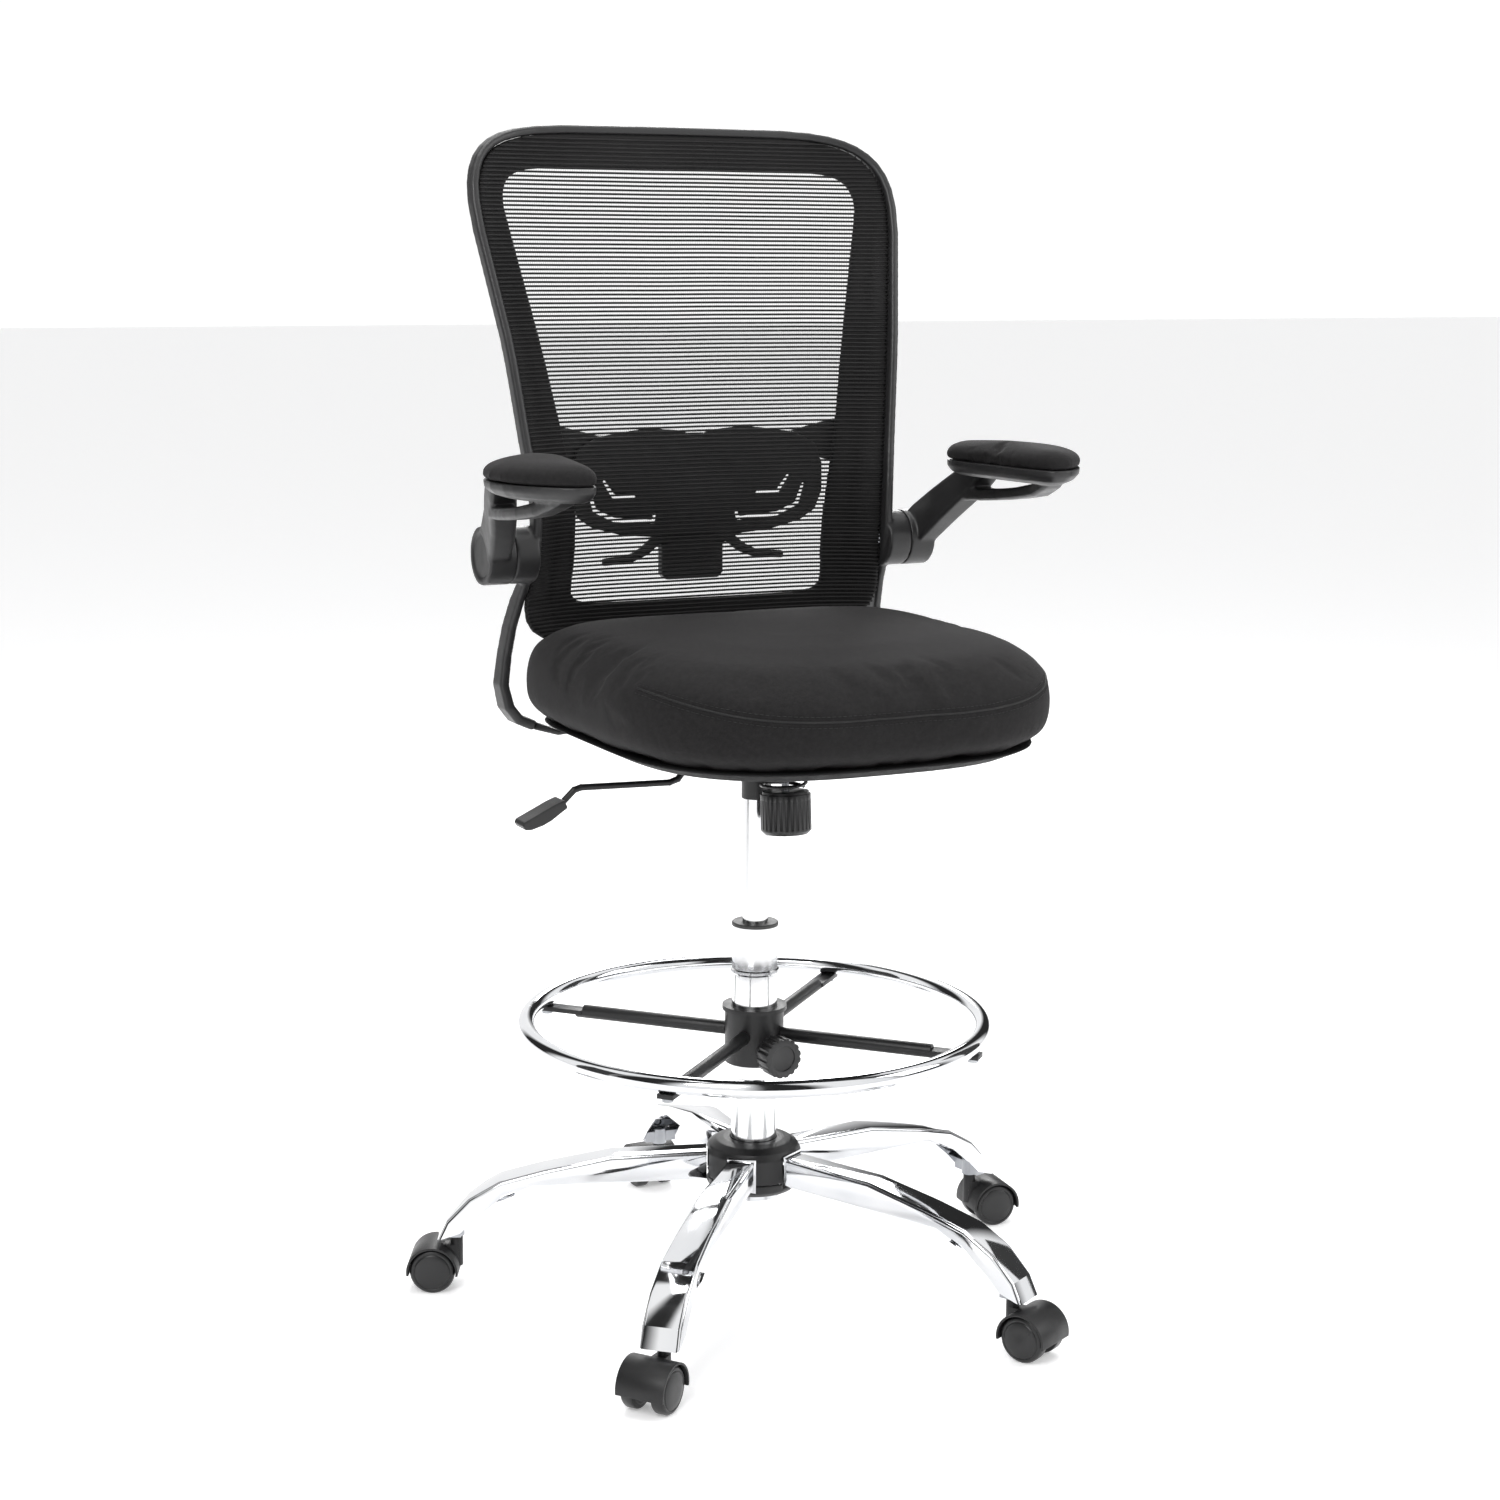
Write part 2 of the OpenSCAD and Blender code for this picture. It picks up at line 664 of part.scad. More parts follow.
// A wheel with a crowned face, its bore on the axle; side is 1 or -1
module caster_wheel(i, side) {
    r = wheel_r;
    w = wheel_w;
    color(black_plastic) at_caster(i) translate([trail, side * wheel_gap / 2, axle_z])
        rotate([side * -90, 0, 0])
        rotate_extrude(convexity = 4)
            polygon([[axle_d / 2 + run, 0], [r - 6, 0], [r - 5, 2], [r - 1, 2], [r, 3.5], [r, w - 5],
                [r - 1.5, w - 2.5],
                     [r - 4, w - 1.6], [r - 5, w - 2.6], [r - 6, w - 1.2], [r - 13, w - 0.2], [0, w],
                     [0, w - 3.5], [axle_d / 2 + run, w - 3.5]]);
}

// ---------------------------------------------------------------- foot ring

module foot_ring() {
    color(chrome) translate([0, 0, ring_z]) rotate_extrude() translate([ring_radius, 0])
        circle(d = ring_tube_d);
}

module ring_spokes() {
    flat_l = 46;
    hub_r = ring_hub_d / 2;
    tab_z = ring_z - ring_tube_d / 2 - tab_t;
    color(black_plastic) for (i = [0:spoke_count - 1]) rotate(first_spoke + i * 360 / spoke_count)
        difference() {
        union() {
            translate([hub_r, 0, spoke_z]) rotate([0, 90, 0])
                cylinder(h = ring_radius - flat_l + 8 - hub_r, d = spoke_d);
            translate([ring_radius - flat_l, -spoke_d / 2 - 1.5, tab_z])
                cube([flat_l + 8, spoke_d + 3, tab_t]);
        }
        translate([ring_radius, 0, tab_z - 1]) cylinder(h = tab_t + 2, d = 6.4);
        translate([ring_radius - flat_l + 8, -20, tab_z - 20]) cube([60, 40, 20]);
        translate([ring_radius - flat_l, -20, tab_z + tab_t]) cube([60, 40, 20]);
    }
}

module ring_hub() {
    bore_r = tube_d / 2 + run;
    color(black_plastic) difference() {
        union() {
            translate([0, 0, ring_hub_z]) cylinder(h = ring_hub_h, d = ring_hub_d);
            translate([0, 0, ring_hub_z + ring_hub_h - 5]) cylinder(h = 5, d = ring_hub_d + 6);
            rotate(clamp_dir) translate([0, 0, clamp_z]) rotate([0, 90, 0])
                cylinder(h = ring_hub_d / 2 + 8, d = 28);
        }
        translate([0, 0, ring_hub_z - 1]) cylinder(h = ring_hub_h + 2, r = bore_r);
        rotate(clamp_dir) translate([0, 0, clamp_z]) rotate([0, 90, 0]) cylinder(h = 60, d = 8.1);
        rotate(clamp_dir) translate([0, 0, clamp_z]) rotate([0, 90, 0])
            cylinder(h = tube_d / 2 + 6.5, d = 14.1);
    }
}

module ring_bolts() {
    tab_z = ring_z - ring_tube_d / 2 - tab_t;
    color(black_plastic) for (i = [0:spoke_count - 1]) rotate(first_spoke + i * 360 / spoke_count)
        translate([ring_radius, 0, 0]) {
            translate([0, 0, tab_z - 4]) cylinder(h = 4, d = 12);
            translate([0, 0, tab_z - 0.5]) cylinder(h = tab_t + 0.5, d = 6);
        }
}

module clamp_pad() {
    color(black_plastic) rotate(clamp_dir) translate([tube_d / 2 + 0.1, 0, clamp_z]) rotate([0, 90, 0])
        cylinder(h = 3, d = 14);
}

module clamp_knob() {
    knob_in = ring_hub_d / 2 + 12;
    knob_out = ring_hub_d / 2 + 33;
    lobes = 16;
    tip = tube_d / 2 + 3.2;
    color(black_plastic) rotate(clamp_dir) translate([0, 0, clamp_z]) rotate([0, 90, 0]) {
        translate([0, 0, tip]) cylinder(h = knob_out - tip - 6, d = 8);
        difference() {
            translate([0, 0, knob_in]) cylinder(h = knob_out - knob_in, d = clamp_knob_d);
            for (k = [0:lobes - 1]) rotate(k * 360 / lobes)
                translate([clamp_knob_d / 2 + 1.2, 0, knob_in - 1])
                    cylinder(h = knob_out - knob_in + 2, r = 2.6);
            translate([0, 0, knob_out - 2]) cylinder(h = 3, d = clamp_knob_d - 16);
        }
    }
}

// ---------------------------------------------------------------- mechanism

module tilt_bore(d) {
    translate([-100, tilt_y, tilt_z]) rotate([0, 90, 0]) cylinder(h = 200, d = d);
}

module mech_housing() {
    half = mech_w / 2;
    wall = 3;
    color(black_plastic) difference() {
        union() {
            translate([0, 0, mech_socket_z])
                cylinder(h = mech_z - mech_socket_z + 2, r = lift_r + socket_wall);
            translate([-half, mech_front_y, mech_z])
                cube([mech_w, mech_rear_y - mech_front_y, mech_top_z - mech_z]);
            translate([-tongue_w / 2, tongue_front_y, shelf_z])
                cube([tongue_w, mech_front_y - tongue_front_y + 1, shelf_t]);
        }
        // Hollow inside, with the socket wall left standing
        difference() {
            translate([-half + wall, mech_front_y + wall, mech_z + wall])
                cube([mech_w - 2 * wall, mech_rear_y - mech_front_y - 2 * wall, mech_top_z]);
            cylinder(h = lift_top_z, r = lift_r + 5);
            translate([-half, tilt_y, tilt_z]) rotate([0, 90, 0])
                cylinder(h = mech_w, d = tilt_pin_d + 6);
            for (s = [-1, 1]) translate([lever_pivot_x - 6, s * 7 - 2, mech_z])
                cube([12, 4, mech_top_z - mech_z - 2]);
        }
        translate([0, 0, mech_socket_z - 1]) cylinder(h = mech_top_z, r = lift_r);
        translate([0, 0, lift_top_z]) cylinder(h = mech_top_z, r = lift_r + 6);
        tilt_bore(tilt_pin_d);
        // Slot for the lever and bore for its pin
        translate([-half - 1, -lever_d / 2 - 1, lever_z - 9]) cube([20, lever_d + 2, 40]);
        translate([lever_pivot_x, 20, lever_z]) rotate([90, 0, 0]) cylinder(h = 40, d = lever_pin_d);
        // Slot for the tension bolt
        for (k = [-9:3:3]) translate([0, knob_y + k, shelf_z - 1])
            cylinder(h = shelf_t + 2, d = bolt_d + 3);
    }
}

module mech_pins() {
    half = mech_w / 2 + gap + cheek_t + 2;
    color(steel) {
        translate([-half, tilt_y, tilt_z]) rotate([0, 90, 0]) cylinder(h = 2 * half, d = tilt_pin_d);
        translate([lever_pivot_x, 9, lever_z]) rotate([90, 0, 0]) cylinder(h = 18, d = lever_pin_d);
    }
}

// Points of one ring of the spring wire, at angle a
function coil_ring(a, r, z, wire) =
    [for (j = [0:7]) let (b = j * 45)
        [(r + wire * cos(b)) * cos(a), (r + wire * cos(b)) * sin(a), z + wire * sin(b)]];

module tension_spring() {
    steps = 20;
    wire = spring_wire / 2;
    low = knob_top_z + washer_t + wire + 0.3;
    high = shelf_z - wire - 0.3;
    total = spring_turns * steps;
    color(black_plastic) translate([0, knob_y, 0])
        skin([for (k = [0:total]) coil_ring(k * 360 / steps, knob_d / 2 - 3,
            low + (high - low) * k / total, wire)]);
}

// Draws a child on the axis of the tension bolt, with Z = 0 at the seat plate
module on_bolt() {
    translate([0, knob_y, plate_z]) rotate([-knob_lean, 0, 0]) children();
}

module tension_knob() {
    ribs = 28;
    top = knob_top_z - plate_z;
    r = knob_d / 2;
    color(grey_plastic) on_bolt() difference() {
        union() {
            translate([0, 0, top - knob_h + 4]) cylinder(h = knob_h - 4, r = r);
            translate([0, 0, top - knob_h]) cylinder(h = 4, r1 = r - 4, r2 = r);
            translate([0, 0, top - 0.2]) cylinder(h = washer_t, r = r - 2);
        }
        translate([0, 0, top - knob_h + 12]) cylinder(h = knob_h, r = bolt_d / 2 + run);
        for (k = [0:ribs - 1]) rotate(k * 360 / ribs) translate([r + 0.6, 0, top - knob_h + 6])
            cylinder(h = knob_h - 12, r = 1.6);
    }
}

module tension_bolt() {
    top = knob_top_z - plate_z;
    color(steel) on_bolt() {
        translate([0, 0, top - knob_h + 14]) cylinder(h = plate_t + 3 - (top - knob_h + 14), d = bolt_d);
        translate([0, 0, plate_t + 0.4]) cylinder(h = 5, d = bolt_d + 8);
    }
}

module lever_rod() {
    color(black_plastic) difference() {
        union() {
            for (i = [0:len(lever_bar) - 2]) bar(lever_bar[i], lever_bar[i + 1], lever_d);
            for (i = [1:len(lever_bar) - 2]) translate(lever_bar[i]) sphere(d = lever_d + 0.4);
        }
        translate([lever_pivot_x, 20, lever_z]) rotate([90, 0, 0])
            cylinder(h = 40, r = lever_pin_d / 2 + run);
    }
}

module lever_handle() {
    tip = lever_bar[len(lever_bar) - 1];
    slope = 22;
    color(grey_plastic) translate(tip) rotate([0, -slope, 0]) translate([0, handle_w / 2, 0])
        rotate([90, 0, 0])
        linear_extrude(handle_w)
            polygon([[-2.2, 4.5], [-14, 5], [-handle_l, 3], [-handle_l - 3, 0], [-handle_l - 2, -5],
                [-handle_l + 4, -8],
                     [-handle_l + 18, -9.5], [-handle_l + 28, -9], [-10, -6], [-2.2, -4.5]]);
}

// ---------------------------------------------------------------- seat

module seat_plate() {
    cheek_l = 34;
    color(black_plastic) difference() {
        union() {
            translate([-plate_w / 2, plate_front_y, plate_z])
                cube([plate_w, plate_rear_y - plate_front_y, plate_t]);
            both_sides() translate([cheek_x, tilt_y - cheek_l / 2, tilt_z - 8])
                cube([cheek_t, cheek_l, plate_z - tilt_z + 9]);
        }
        tilt_bore(tilt_pin_d + 2 * run);
        on_bolt() translate([0, 0, -8]) cylinder(h = 12 + plate_t, d = bolt_d);
        on_bolt() translate([0, 0, plate_t]) cylinder(h = 6, d = bolt_d + 8);
        for (x = [-60, 60]) for (y = [plate_front_y + 14, plate_rear_y - 14])
            translate([x, y, plate_z - 1]) cylinder(h = plate_t + 2, d = 6);
    }
}

// Ring of the seat outline, drawn in by inset, at height z
function seat_ring(inset, z, drop) =
    [for (k = [0:59])
        let (power = k < 30 ? seat_front_power : seat_rear_power,
             p = super_xy(seat_half_w - inset, seat_half_d - inset, power, -k * 6),
             f = max(-p[1] / seat_half_d, 0))
        [p[0], seat_mid_y + p[1], z - drop * f * f * f]];

module seat_pan() {
    color(black_plastic) difference() {
        skin([seat_ring(pan_inset, seat_base_z, 0), seat_ring(pan_top_inset, seat_base_z + pan_t, 0)]);
        for (p = pan_holes) translate([p[0], p[1], seat_base_z - 1]) cylinder(h = pan_t + 2, d = 6);
        translate([0, knob_y, seat_base_z - 1]) cylinder(h = 8, d = bolt_d + 16);
    }
}

module seat_screws() {
    color(steel) for (p = pan_holes) translate([p[0], p[1], p[2]]) {
        translate([0, 0, -3.5]) cylinder(h = 3.5, d = 11);
        translate([0, 0, -0.5]) cylinder(h = seat_base_z - p[2] + pan_t - 1, d = 6);
    }
}

module seat_cushion() {
    t = seat_thick;
    z = cushion_z;
    color(black_fabric) skin([
        seat_ring(pan_top_inset, z, 0), seat_ring(7, z + 0.10 * t, 1), seat_ring(1, z + 0.22 * t, 2),
        seat_ring(0, z + 0.34 * t, 3), seat_ring(0, z + 0.52 * t, 5), seat_ring(3, z + 0.72 * t, 8),
        seat_ring(9, z + 0.88 * t, seat_front_drop), seat_ring(24, z + t, seat_front_drop),
        seat_ring(56, z + t + seat_crown * 0.5, seat_front_drop),
        seat_ring(118, z + t + seat_crown * 0.9, seat_front_drop),
        seat_ring(180, z + t + seat_crown, seat_front_drop)]);
}

// ---------------------------------------------------------------- back

// Section of the side frame: o points outwards, half thickness a, half depth b, corners cut by c
function band_ring(p, o, a, b, c) =
    [for (q = [[a - c, -b], [c - a, -b], [-a, c - b], [-a, b - c], [c - a, b], [a - c, b], [a, b - c],
        [a, c - b]])
        p + o * q[0] + [0, 1, 0] * q[1]];

// Rows [point, half thickness, half depth] of a path given from the waist and the rear of the seat
function support_rows(path) =
    [for (s = path) [[back_waist_w / 2 + s[0], seat_rear + s[1], back_base_z + s[2]], s[3], s[4]]];

// Solid of a band that follows a list of such rows
module band(rows) {
    n = len(rows);
    function out(i) =
        let (t = rows[min(i + 1, n - 1)][0] - rows[max(i - 1, 0)][0])
        unit([t[2], 0, -t[0]]);
    skin([for (i = [0:n - 1]) band_ring(rows[i][0], out(i), rows[i][1], rows[i][2], 2)]);
}

// Row of the edge band of the back at height k and a distance x from the middle
function edge_row(x, k) =
    let (half = band_t / 2, full = back_x(k) - half)
    [[x, back_y(x * back_x(k) / full, k) + band_d / 2 - 2, back_base_z + k], half, band_d / 2];

module back_frame() {
    color(grey_plastic) difference() {
        union() {
            band(frame_rows);
            both_sides() translate([boss_in, arm_pivot_y, arm_pivot_z]) rotate([0, 90, 0])
                cylinder(h = arm_hub_in - 0.4 - boss_in, d = arm_hub_d - 1);
        }
        both_sides() translate([boss_in - 20, arm_pivot_y, arm_pivot_z]) rotate([0, 90, 0])
            cylinder(h = 80, d = arm_pin_d);
    }
}

module arm_pins() {
    color(steel) both_sides() translate([boss_in + 2, arm_pivot_y, arm_pivot_z]) rotate([0, 90, 0])
        cylinder(h = arm_hub_out - boss_in - 10, d = arm_pin_d);
}

// Front point of the mesh frame for an outline key
function frame_point(key, share, lift) =
    let (o = border_point(key, share)) [o[0], back_y(o[0], o[1]) + lift, back_base_z + o[1]];

module mesh_frame() {
    t = mesh_frame_t;
    front = 0.4;
    color(black_plastic) loop_skin([for (k = outline_keys)
        [frame_point(k, 0, front), frame_point(k, 0.5, front), frame_point(k, 1, front),
         frame_point(k, 1, t - 2), frame_point(k, 0.5, t + 1), frame_point(k, 0, t)]]);
}

module back_mesh() {
    mid = back_mid_h * back_size;
    function mesh_ring(share, f, lift) =
        [for (i = [len(outline_keys) - 1:-1:0])
            let (o = border_point(outline_keys[i], share), x = o[0] * f, h = mid + (o[1] - mid) * f)
            [x, back_y(x, h) + lift, back_base_z + h]];
    steps = [[1, 0.25], [1, 0.5], [1, 0.75], [1, 0.9], [1, 1], [0.5, 1], [0, 1]];
    n = len(steps) - 1;
    color(black_fabric) skin(concat(
        [for (k = [0:n]) mesh_ring(steps[k][0], steps[k][1], 0)],
        [for (k = [n:-1:0]) mesh_ring(steps[k][0], steps[k][1], -mesh_t)]));
}

// ---------------------------------------------------------------- lumbar support

// Upright shell of the given thickness, bent round the sitter's back, its middle at depth y
module bent_shell(y, radius, t) {
    translate([0, y - radius, 0]) difference() {
        cylinder(h = 3000, r = radius + t, $fn = 128);
        translate([0, 0, -1]) cylinder(h = 3002, r = radius, $fn = 128);
    }
}

// Upright plate of a flat outline drawn in X and Z
module upright(z, from_y, to_y) {
    translate([0, to_y, z]) rotate([90, 0, 0]) linear_extrude(to_y - from_y) children();
}

module lumbar_bridge() {
    block_w = 76;
    w = bridge_half;
    color(black_plastic) {
        intersection() {
            bent_shell(bridge_y, 1300, 7);
            upright(bridge_z, bridge_y - 90, bridge_y + 20)
                polygon([[-w, -30], [-w, 28], [-w + 30, 22], [-w + 70, 12], [w - 70, 12], [w - 30, 22],
                    [w, 28],
                         [w, -30], [w - 40, -18], [w - 90, -10], [60, -14], [-60, -14], [-w + 90, -10],
                             [-w + 40, -18]]);
        }
        difference() {
            upright(bridge_z, bridge_y + 0.5, bridge_y + 14)
                polygon([[-block_w / 2, 6], [-block_w / 2, -146],
                [-block_w / 2 + 6, -152], [block_w / 2 - 6, -152], [block_w / 2, -146],
                    [block_w / 2, 6]]);
            translate([-block_w / 2 + 4, bridge_y + 5, bridge_z - 140]) cube([block_w - 8, 20, 120]);
        }
        intersection() {
            bent_shell(bridge_y, 1300, 6);
            both_sides() upright(bridge_z, bridge_y - 90, bridge_y + 20)
                polygon([[30, -97], [48, -101], [62, -113], [78, -121], [112, -124], [112, -133],
                    [74, -130],
                         [56, -123], [42, -112], [30, -109]]);
        }
    }
}

module lumbar_pad() {
    color(black_plastic) intersection() {
        bent_shell(lumbar_y, 1400, 5);
        upright(lumbar_z, lumbar_y - 90, lumbar_y + 20) difference() {
            polygon(concat(pad_edge, [for (i = [len(pad_edge) - 1:-1:0])
                [-pad_edge[i][0], pad_edge[i][1]]]));
            both_sides() {
                polygon([[48, -32], [52, -32], [54, -40], [100, -36], [122, -26], [130, -4], [134, -4],
                    [127, -28],
                         [102, -40], [50, -44]]);
                polygon([[74, -12], [100, -10], [112, 6], [116, 6], [103, -14], [74, -16]]);
            }
        }
    }
}

// ---------------------------------------------------------------- seat brackets

module seat_brackets() {
    color(black_plastic) both_sides() difference() {
        band(support_rows(bracket_path));
        for (d = [-bracket_hole_dy, bracket_hole_dy])
            translate([bracket_hole_x, bracket_hole_y + d, 0]) cylinder(h = seat_base_z + 10, d = 6);
    }
}

// ---------------------------------------------------------------- arms

// Ring of the arm pad outline, drawn in by inset, at height z
function pad_ring(inset, z) =
    [for (k = [0:47])
        let (s = super_xy(1, 1, pad_power, -k * 7.5),
             u = (pad_w / 2 - inset) * s[0] * (1 + pad_taper * s[1]),
             bow = (pad_bow - inset * 0.4) * (1 - s[1] * s[1]) * (0.55 + 0.45 * s[0]))
        [arm_x + u + bow - pad_skew * s[1], pad_mid_y + (pad_l / 2 - inset) * s[1], z]];

module arm_pad() {
    color(black_fabric) skin([
        pad_ring(2, pad_z), pad_ring(0, pad_z + pad_t * 0.18), pad_ring(0.5, pad_z + pad_t * 0.45),
        pad_ring(4, pad_z + pad_t * 0.7), pad_ring(11, pad_z + pad_t * 0.88),
            pad_ring(20, pad_z + pad_t)]);
}

// Section of an arm bar: n points across the bar in the upright plane, half widths a along X and b across
function arm_ring(p, n, a, b) =
    [for (q = [[a - 3, -b], [a, 3 - b], [a, b - 3], [a - 3, b], [3 - a, b], [-a, b - 3], [-a, 3 - b],
        [3 - a, -b]])
        p + [q[0], 0, 0] + n * q[1]];

// Bar that follows rows [x from the hub face, y and z from the pivot, half width, half depth]
module arm_bar(rows) {
    n = len(rows);
    pts = [for (r = rows) [arm_hub_in + r[0], arm_pivot_y + r[1], arm_pivot_z + r[2]]];
    function across(i) =
        let (t = pts[min(i + 1, n - 1)] - pts[max(i - 1, 0)])
        unit([0, -t[2], t[1]]);
    skin([for (i = [0:n - 1]) arm_ring(pts[i], across(i), rows[i][3], rows[i][4])]);
}

module arm_bracket() {
    bore = arm_pin_d / 2 + run;
    color(grey_plastic) difference() {
        union() {
            skin([pad_ring(15, pad_z - tray_t), pad_ring(6, pad_z - tray_t + 4), pad_ring(1.5, pad_z - 7),
                  pad_ring(1, pad_z - 0.3)]);
            arm_bar(arm_strut);
            arm_bar(arm_rib);
            translate([arm_hub_in, arm_pivot_y, arm_pivot_z]) rotate([0, 90, 0])
                cylinder(h = arm_hub_out - arm_hub_in, d = arm_hub_d);
        }
        translate([arm_hub_in - 1, arm_pivot_y, arm_pivot_z]) rotate([0, 90, 0])
            cylinder(h = arm_hub_out - arm_hub_in - 6, r = bore);
        translate([arm_hub_out - 2, arm_pivot_y, arm_pivot_z]) rotate([0, 90, 0])
            cylinder(h = 50, d = arm_hub_d - 12);
    }
}

module arm_bracket_left() { arm_bracket(); }
module arm_bracket_right() { mirror([1, 0, 0]) arm_bracket(); }
module arm_pad_left() { arm_pad(); }
module arm_pad_right() { mirror([1, 0, 0]) arm_pad(); }

// ---------------------------------------------------------------- nodes

base_legs();
base_hub_tube();
caster_sockets();
hub_cover_upper();
hub_cover_lower();
column_tube();
gas_cylinder();
column_bush();
thrust_bearing();
caster_housing(1);  // caster_housing_1
caster_housing(2);  // caster_housing_2
caster_housing(3);  // caster_housing_3
caster_housing(4);  // caster_housing_4
caster_housing(5);  // caster_housing_5
caster_pins(1);  // caster_pins_1
caster_pins(2);  // caster_pins_2
caster_pins(3);  // caster_pins_3
caster_pins(4);  // caster_pins_4
caster_pins(5);  // caster_pins_5
caster_wheel(1, 1);  // wheel_left_1
caster_wheel(2, 1);  // wheel_left_2
caster_wheel(3, 1);  // wheel_left_3
caster_wheel(4, 1);  // wheel_left_4
caster_wheel(5, 1);  // wheel_left_5
caster_wheel(1, -1);  // wheel_right_1
caster_wheel(2, -1);  // wheel_right_2
caster_wheel(3, -1);  // wheel_right_3
caster_wheel(4, -1);  // wheel_right_4
caster_wheel(5, -1);  // wheel_right_5
foot_ring();
ring_spokes();
ring_hub();
ring_bolts();
clamp_knob();
clamp_pad();
piston_rod();
pressure_tube();
valve_pin();
mech_housing();
mech_pins();
tension_spring();
tension_knob();
lever_rod();
lever_handle();
seat_plate();
tension_bolt();
seat_pan();
seat_screws();
seat_cushion();
seat_brackets();
back_frame();
mesh_frame();
back_mesh();
lumbar_bridge();
lumbar_pad();
arm_pins();
arm_bracket_left();
arm_bracket_right();
arm_pad_left();
arm_pad_right();
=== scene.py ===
import math

import bmesh
import bpy
from mathutils import Matrix, Vector
from mathutils.bvhtree import BVHTree


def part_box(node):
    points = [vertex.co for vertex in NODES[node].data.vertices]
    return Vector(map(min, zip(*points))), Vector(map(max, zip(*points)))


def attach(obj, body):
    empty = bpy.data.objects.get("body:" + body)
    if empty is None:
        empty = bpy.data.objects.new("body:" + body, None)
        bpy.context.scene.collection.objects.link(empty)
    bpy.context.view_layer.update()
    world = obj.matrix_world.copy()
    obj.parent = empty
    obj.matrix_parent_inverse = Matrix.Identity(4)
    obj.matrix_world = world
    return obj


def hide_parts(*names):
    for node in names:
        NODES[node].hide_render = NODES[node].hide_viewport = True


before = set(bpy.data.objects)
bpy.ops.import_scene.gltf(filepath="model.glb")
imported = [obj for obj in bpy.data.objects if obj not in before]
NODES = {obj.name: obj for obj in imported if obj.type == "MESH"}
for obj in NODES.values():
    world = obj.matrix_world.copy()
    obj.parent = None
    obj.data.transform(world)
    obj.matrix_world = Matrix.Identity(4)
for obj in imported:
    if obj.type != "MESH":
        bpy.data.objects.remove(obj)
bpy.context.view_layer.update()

# Lengths in metres
WELD = 2e-6
RIB_PITCH = 0.0045
RIB_RADIUS = 0.00118
RIB_FLATNESS = 0.62
RIB_WANDER = 0.00035
THREAD_RADIUS = 0.00013
LEG_EDGE = 0.0045
RIM_TOP = 0.072
COVERED_R = 0.05
SEAM_RADIUS = 0.0011
STITCH_RADIUS = 0.00042
STITCH_LENGTH = 0.0036
STITCH_SPACING = 0.0055
LAST_FRAME = 20
CAMERA_PLACE = (-1.31818, -2.63464, 1.162)
LENS_MM = 66.4
SENSOR_MM = 36


# ------------------------------------------------------------------ camera

def add_camera():
    right = Vector((0.89606, -0.44386, 0.00823))
    up = Vector((0.07448, 0.16859, 0.98287))
    ahead = Vector((0.43765, 0.88009, -0.18412))
    data = bpy.data.cameras.new("camera")
    data.lens, data.sensor_width = LENS_MM, SENSOR_MM
    data.clip_start, data.clip_end = 0.05, 60
    cam = bpy.data.objects.new("camera", data)
    rows = [(right[i], up[i], -ahead[i]) for i in range(3)]
    cam.matrix_world = Matrix.Translation(CAMERA_PLACE) @ Matrix(rows).to_4x4()
    bpy.context.scene.collection.objects.link(cam)
    bpy.context.scene.camera = cam


# ------------------------------------------------------------------ materials

class Nodes:
    """Short names for building one material's node tree."""

    def __init__(self, name):
        self.mat = bpy.data.materials.new(name)
        self.mat.use_nodes = True
        self.tree = self.mat.node_tree
        self.shader = self.tree.nodes["Principled BSDF"]
        self.coords = self.tree.nodes.new("ShaderNodeTexCoord").outputs["Object"]

    def add(self, kind, **values):
        node = self.tree.nodes.new(kind)
        for key, value in values.items():
            if key.startswith("in_"):
                self.put(node.inputs[key[3:].replace("_", " ")], value)
            else:
                setattr(node, key, value)
        return node

    def put(self, socket, value):
        if isinstance(value, bpy.types.NodeSocket):
            self.tree.links.new(value, socket)
        else:
            socket.default_value = value

    def noise(self, scale, detail=3.0, rough=0.5, at=None):
        node = self.add("ShaderNodeTexNoise", in_Scale=scale, in_Detail=detail, in_Roughness=rough)
        self.put(node.inputs["Vector"], at or self.coords)
        return node.outputs["Fac"]

    def stretch(self, x, y, z):
        node = self.add("ShaderNodeMapping", in_Scale=(x, y, z))
        self.put(node.inputs["Vector"], self.coords)
        return node.outputs["Vector"]

    def wave(self, axis, pitch, at=None, distortion=0.0):
        node = self.add("ShaderNodeTexWave", wave_type="BANDS", bands_direction=axis,
                        in_Scale=2 * math.pi / (20 * pitch), in_Distortion=distortion)
        self.put(node.inputs["Vector"], at or self.coords)
        return node.outputs["Fac"]

    def math(self, operation, a, b):
        node = self.add("ShaderNodeMath", operation=operation)
        self.put(node.inputs[0], a)
        self.put(node.inputs[1], b)
        return node.outputs[0]

    def ramp(self, factor, stops):
        node = self.add("ShaderNodeValToRGB")
        self.put(node.inputs["Fac"], factor)
        ramp = node.color_ramp
        for k, (at, value) in enumerate(stops):
            stop = ramp.elements[k] if k < 2 else ramp.elements.new(at)
            stop.position = at
            stop.color = (value, value, value, 1) if isinstance(value, float) else (*value, 1)
        return node.outputs["Color"]

    def bump(self, height, distance, strength=1.0, after=None):
        node = self.add("ShaderNodeBump", in_Strength=strength, in_Distance=distance)
        self.put(node.inputs["Height"], height)
        if after:
            self.put(node.inputs["Normal"], after)
        return node.outputs["Normal"]

    def set(self, **values):
        for key, value in values.items():
            self.put(self.shader.inputs[key.replace("_", " ")], value)
        return self.mat


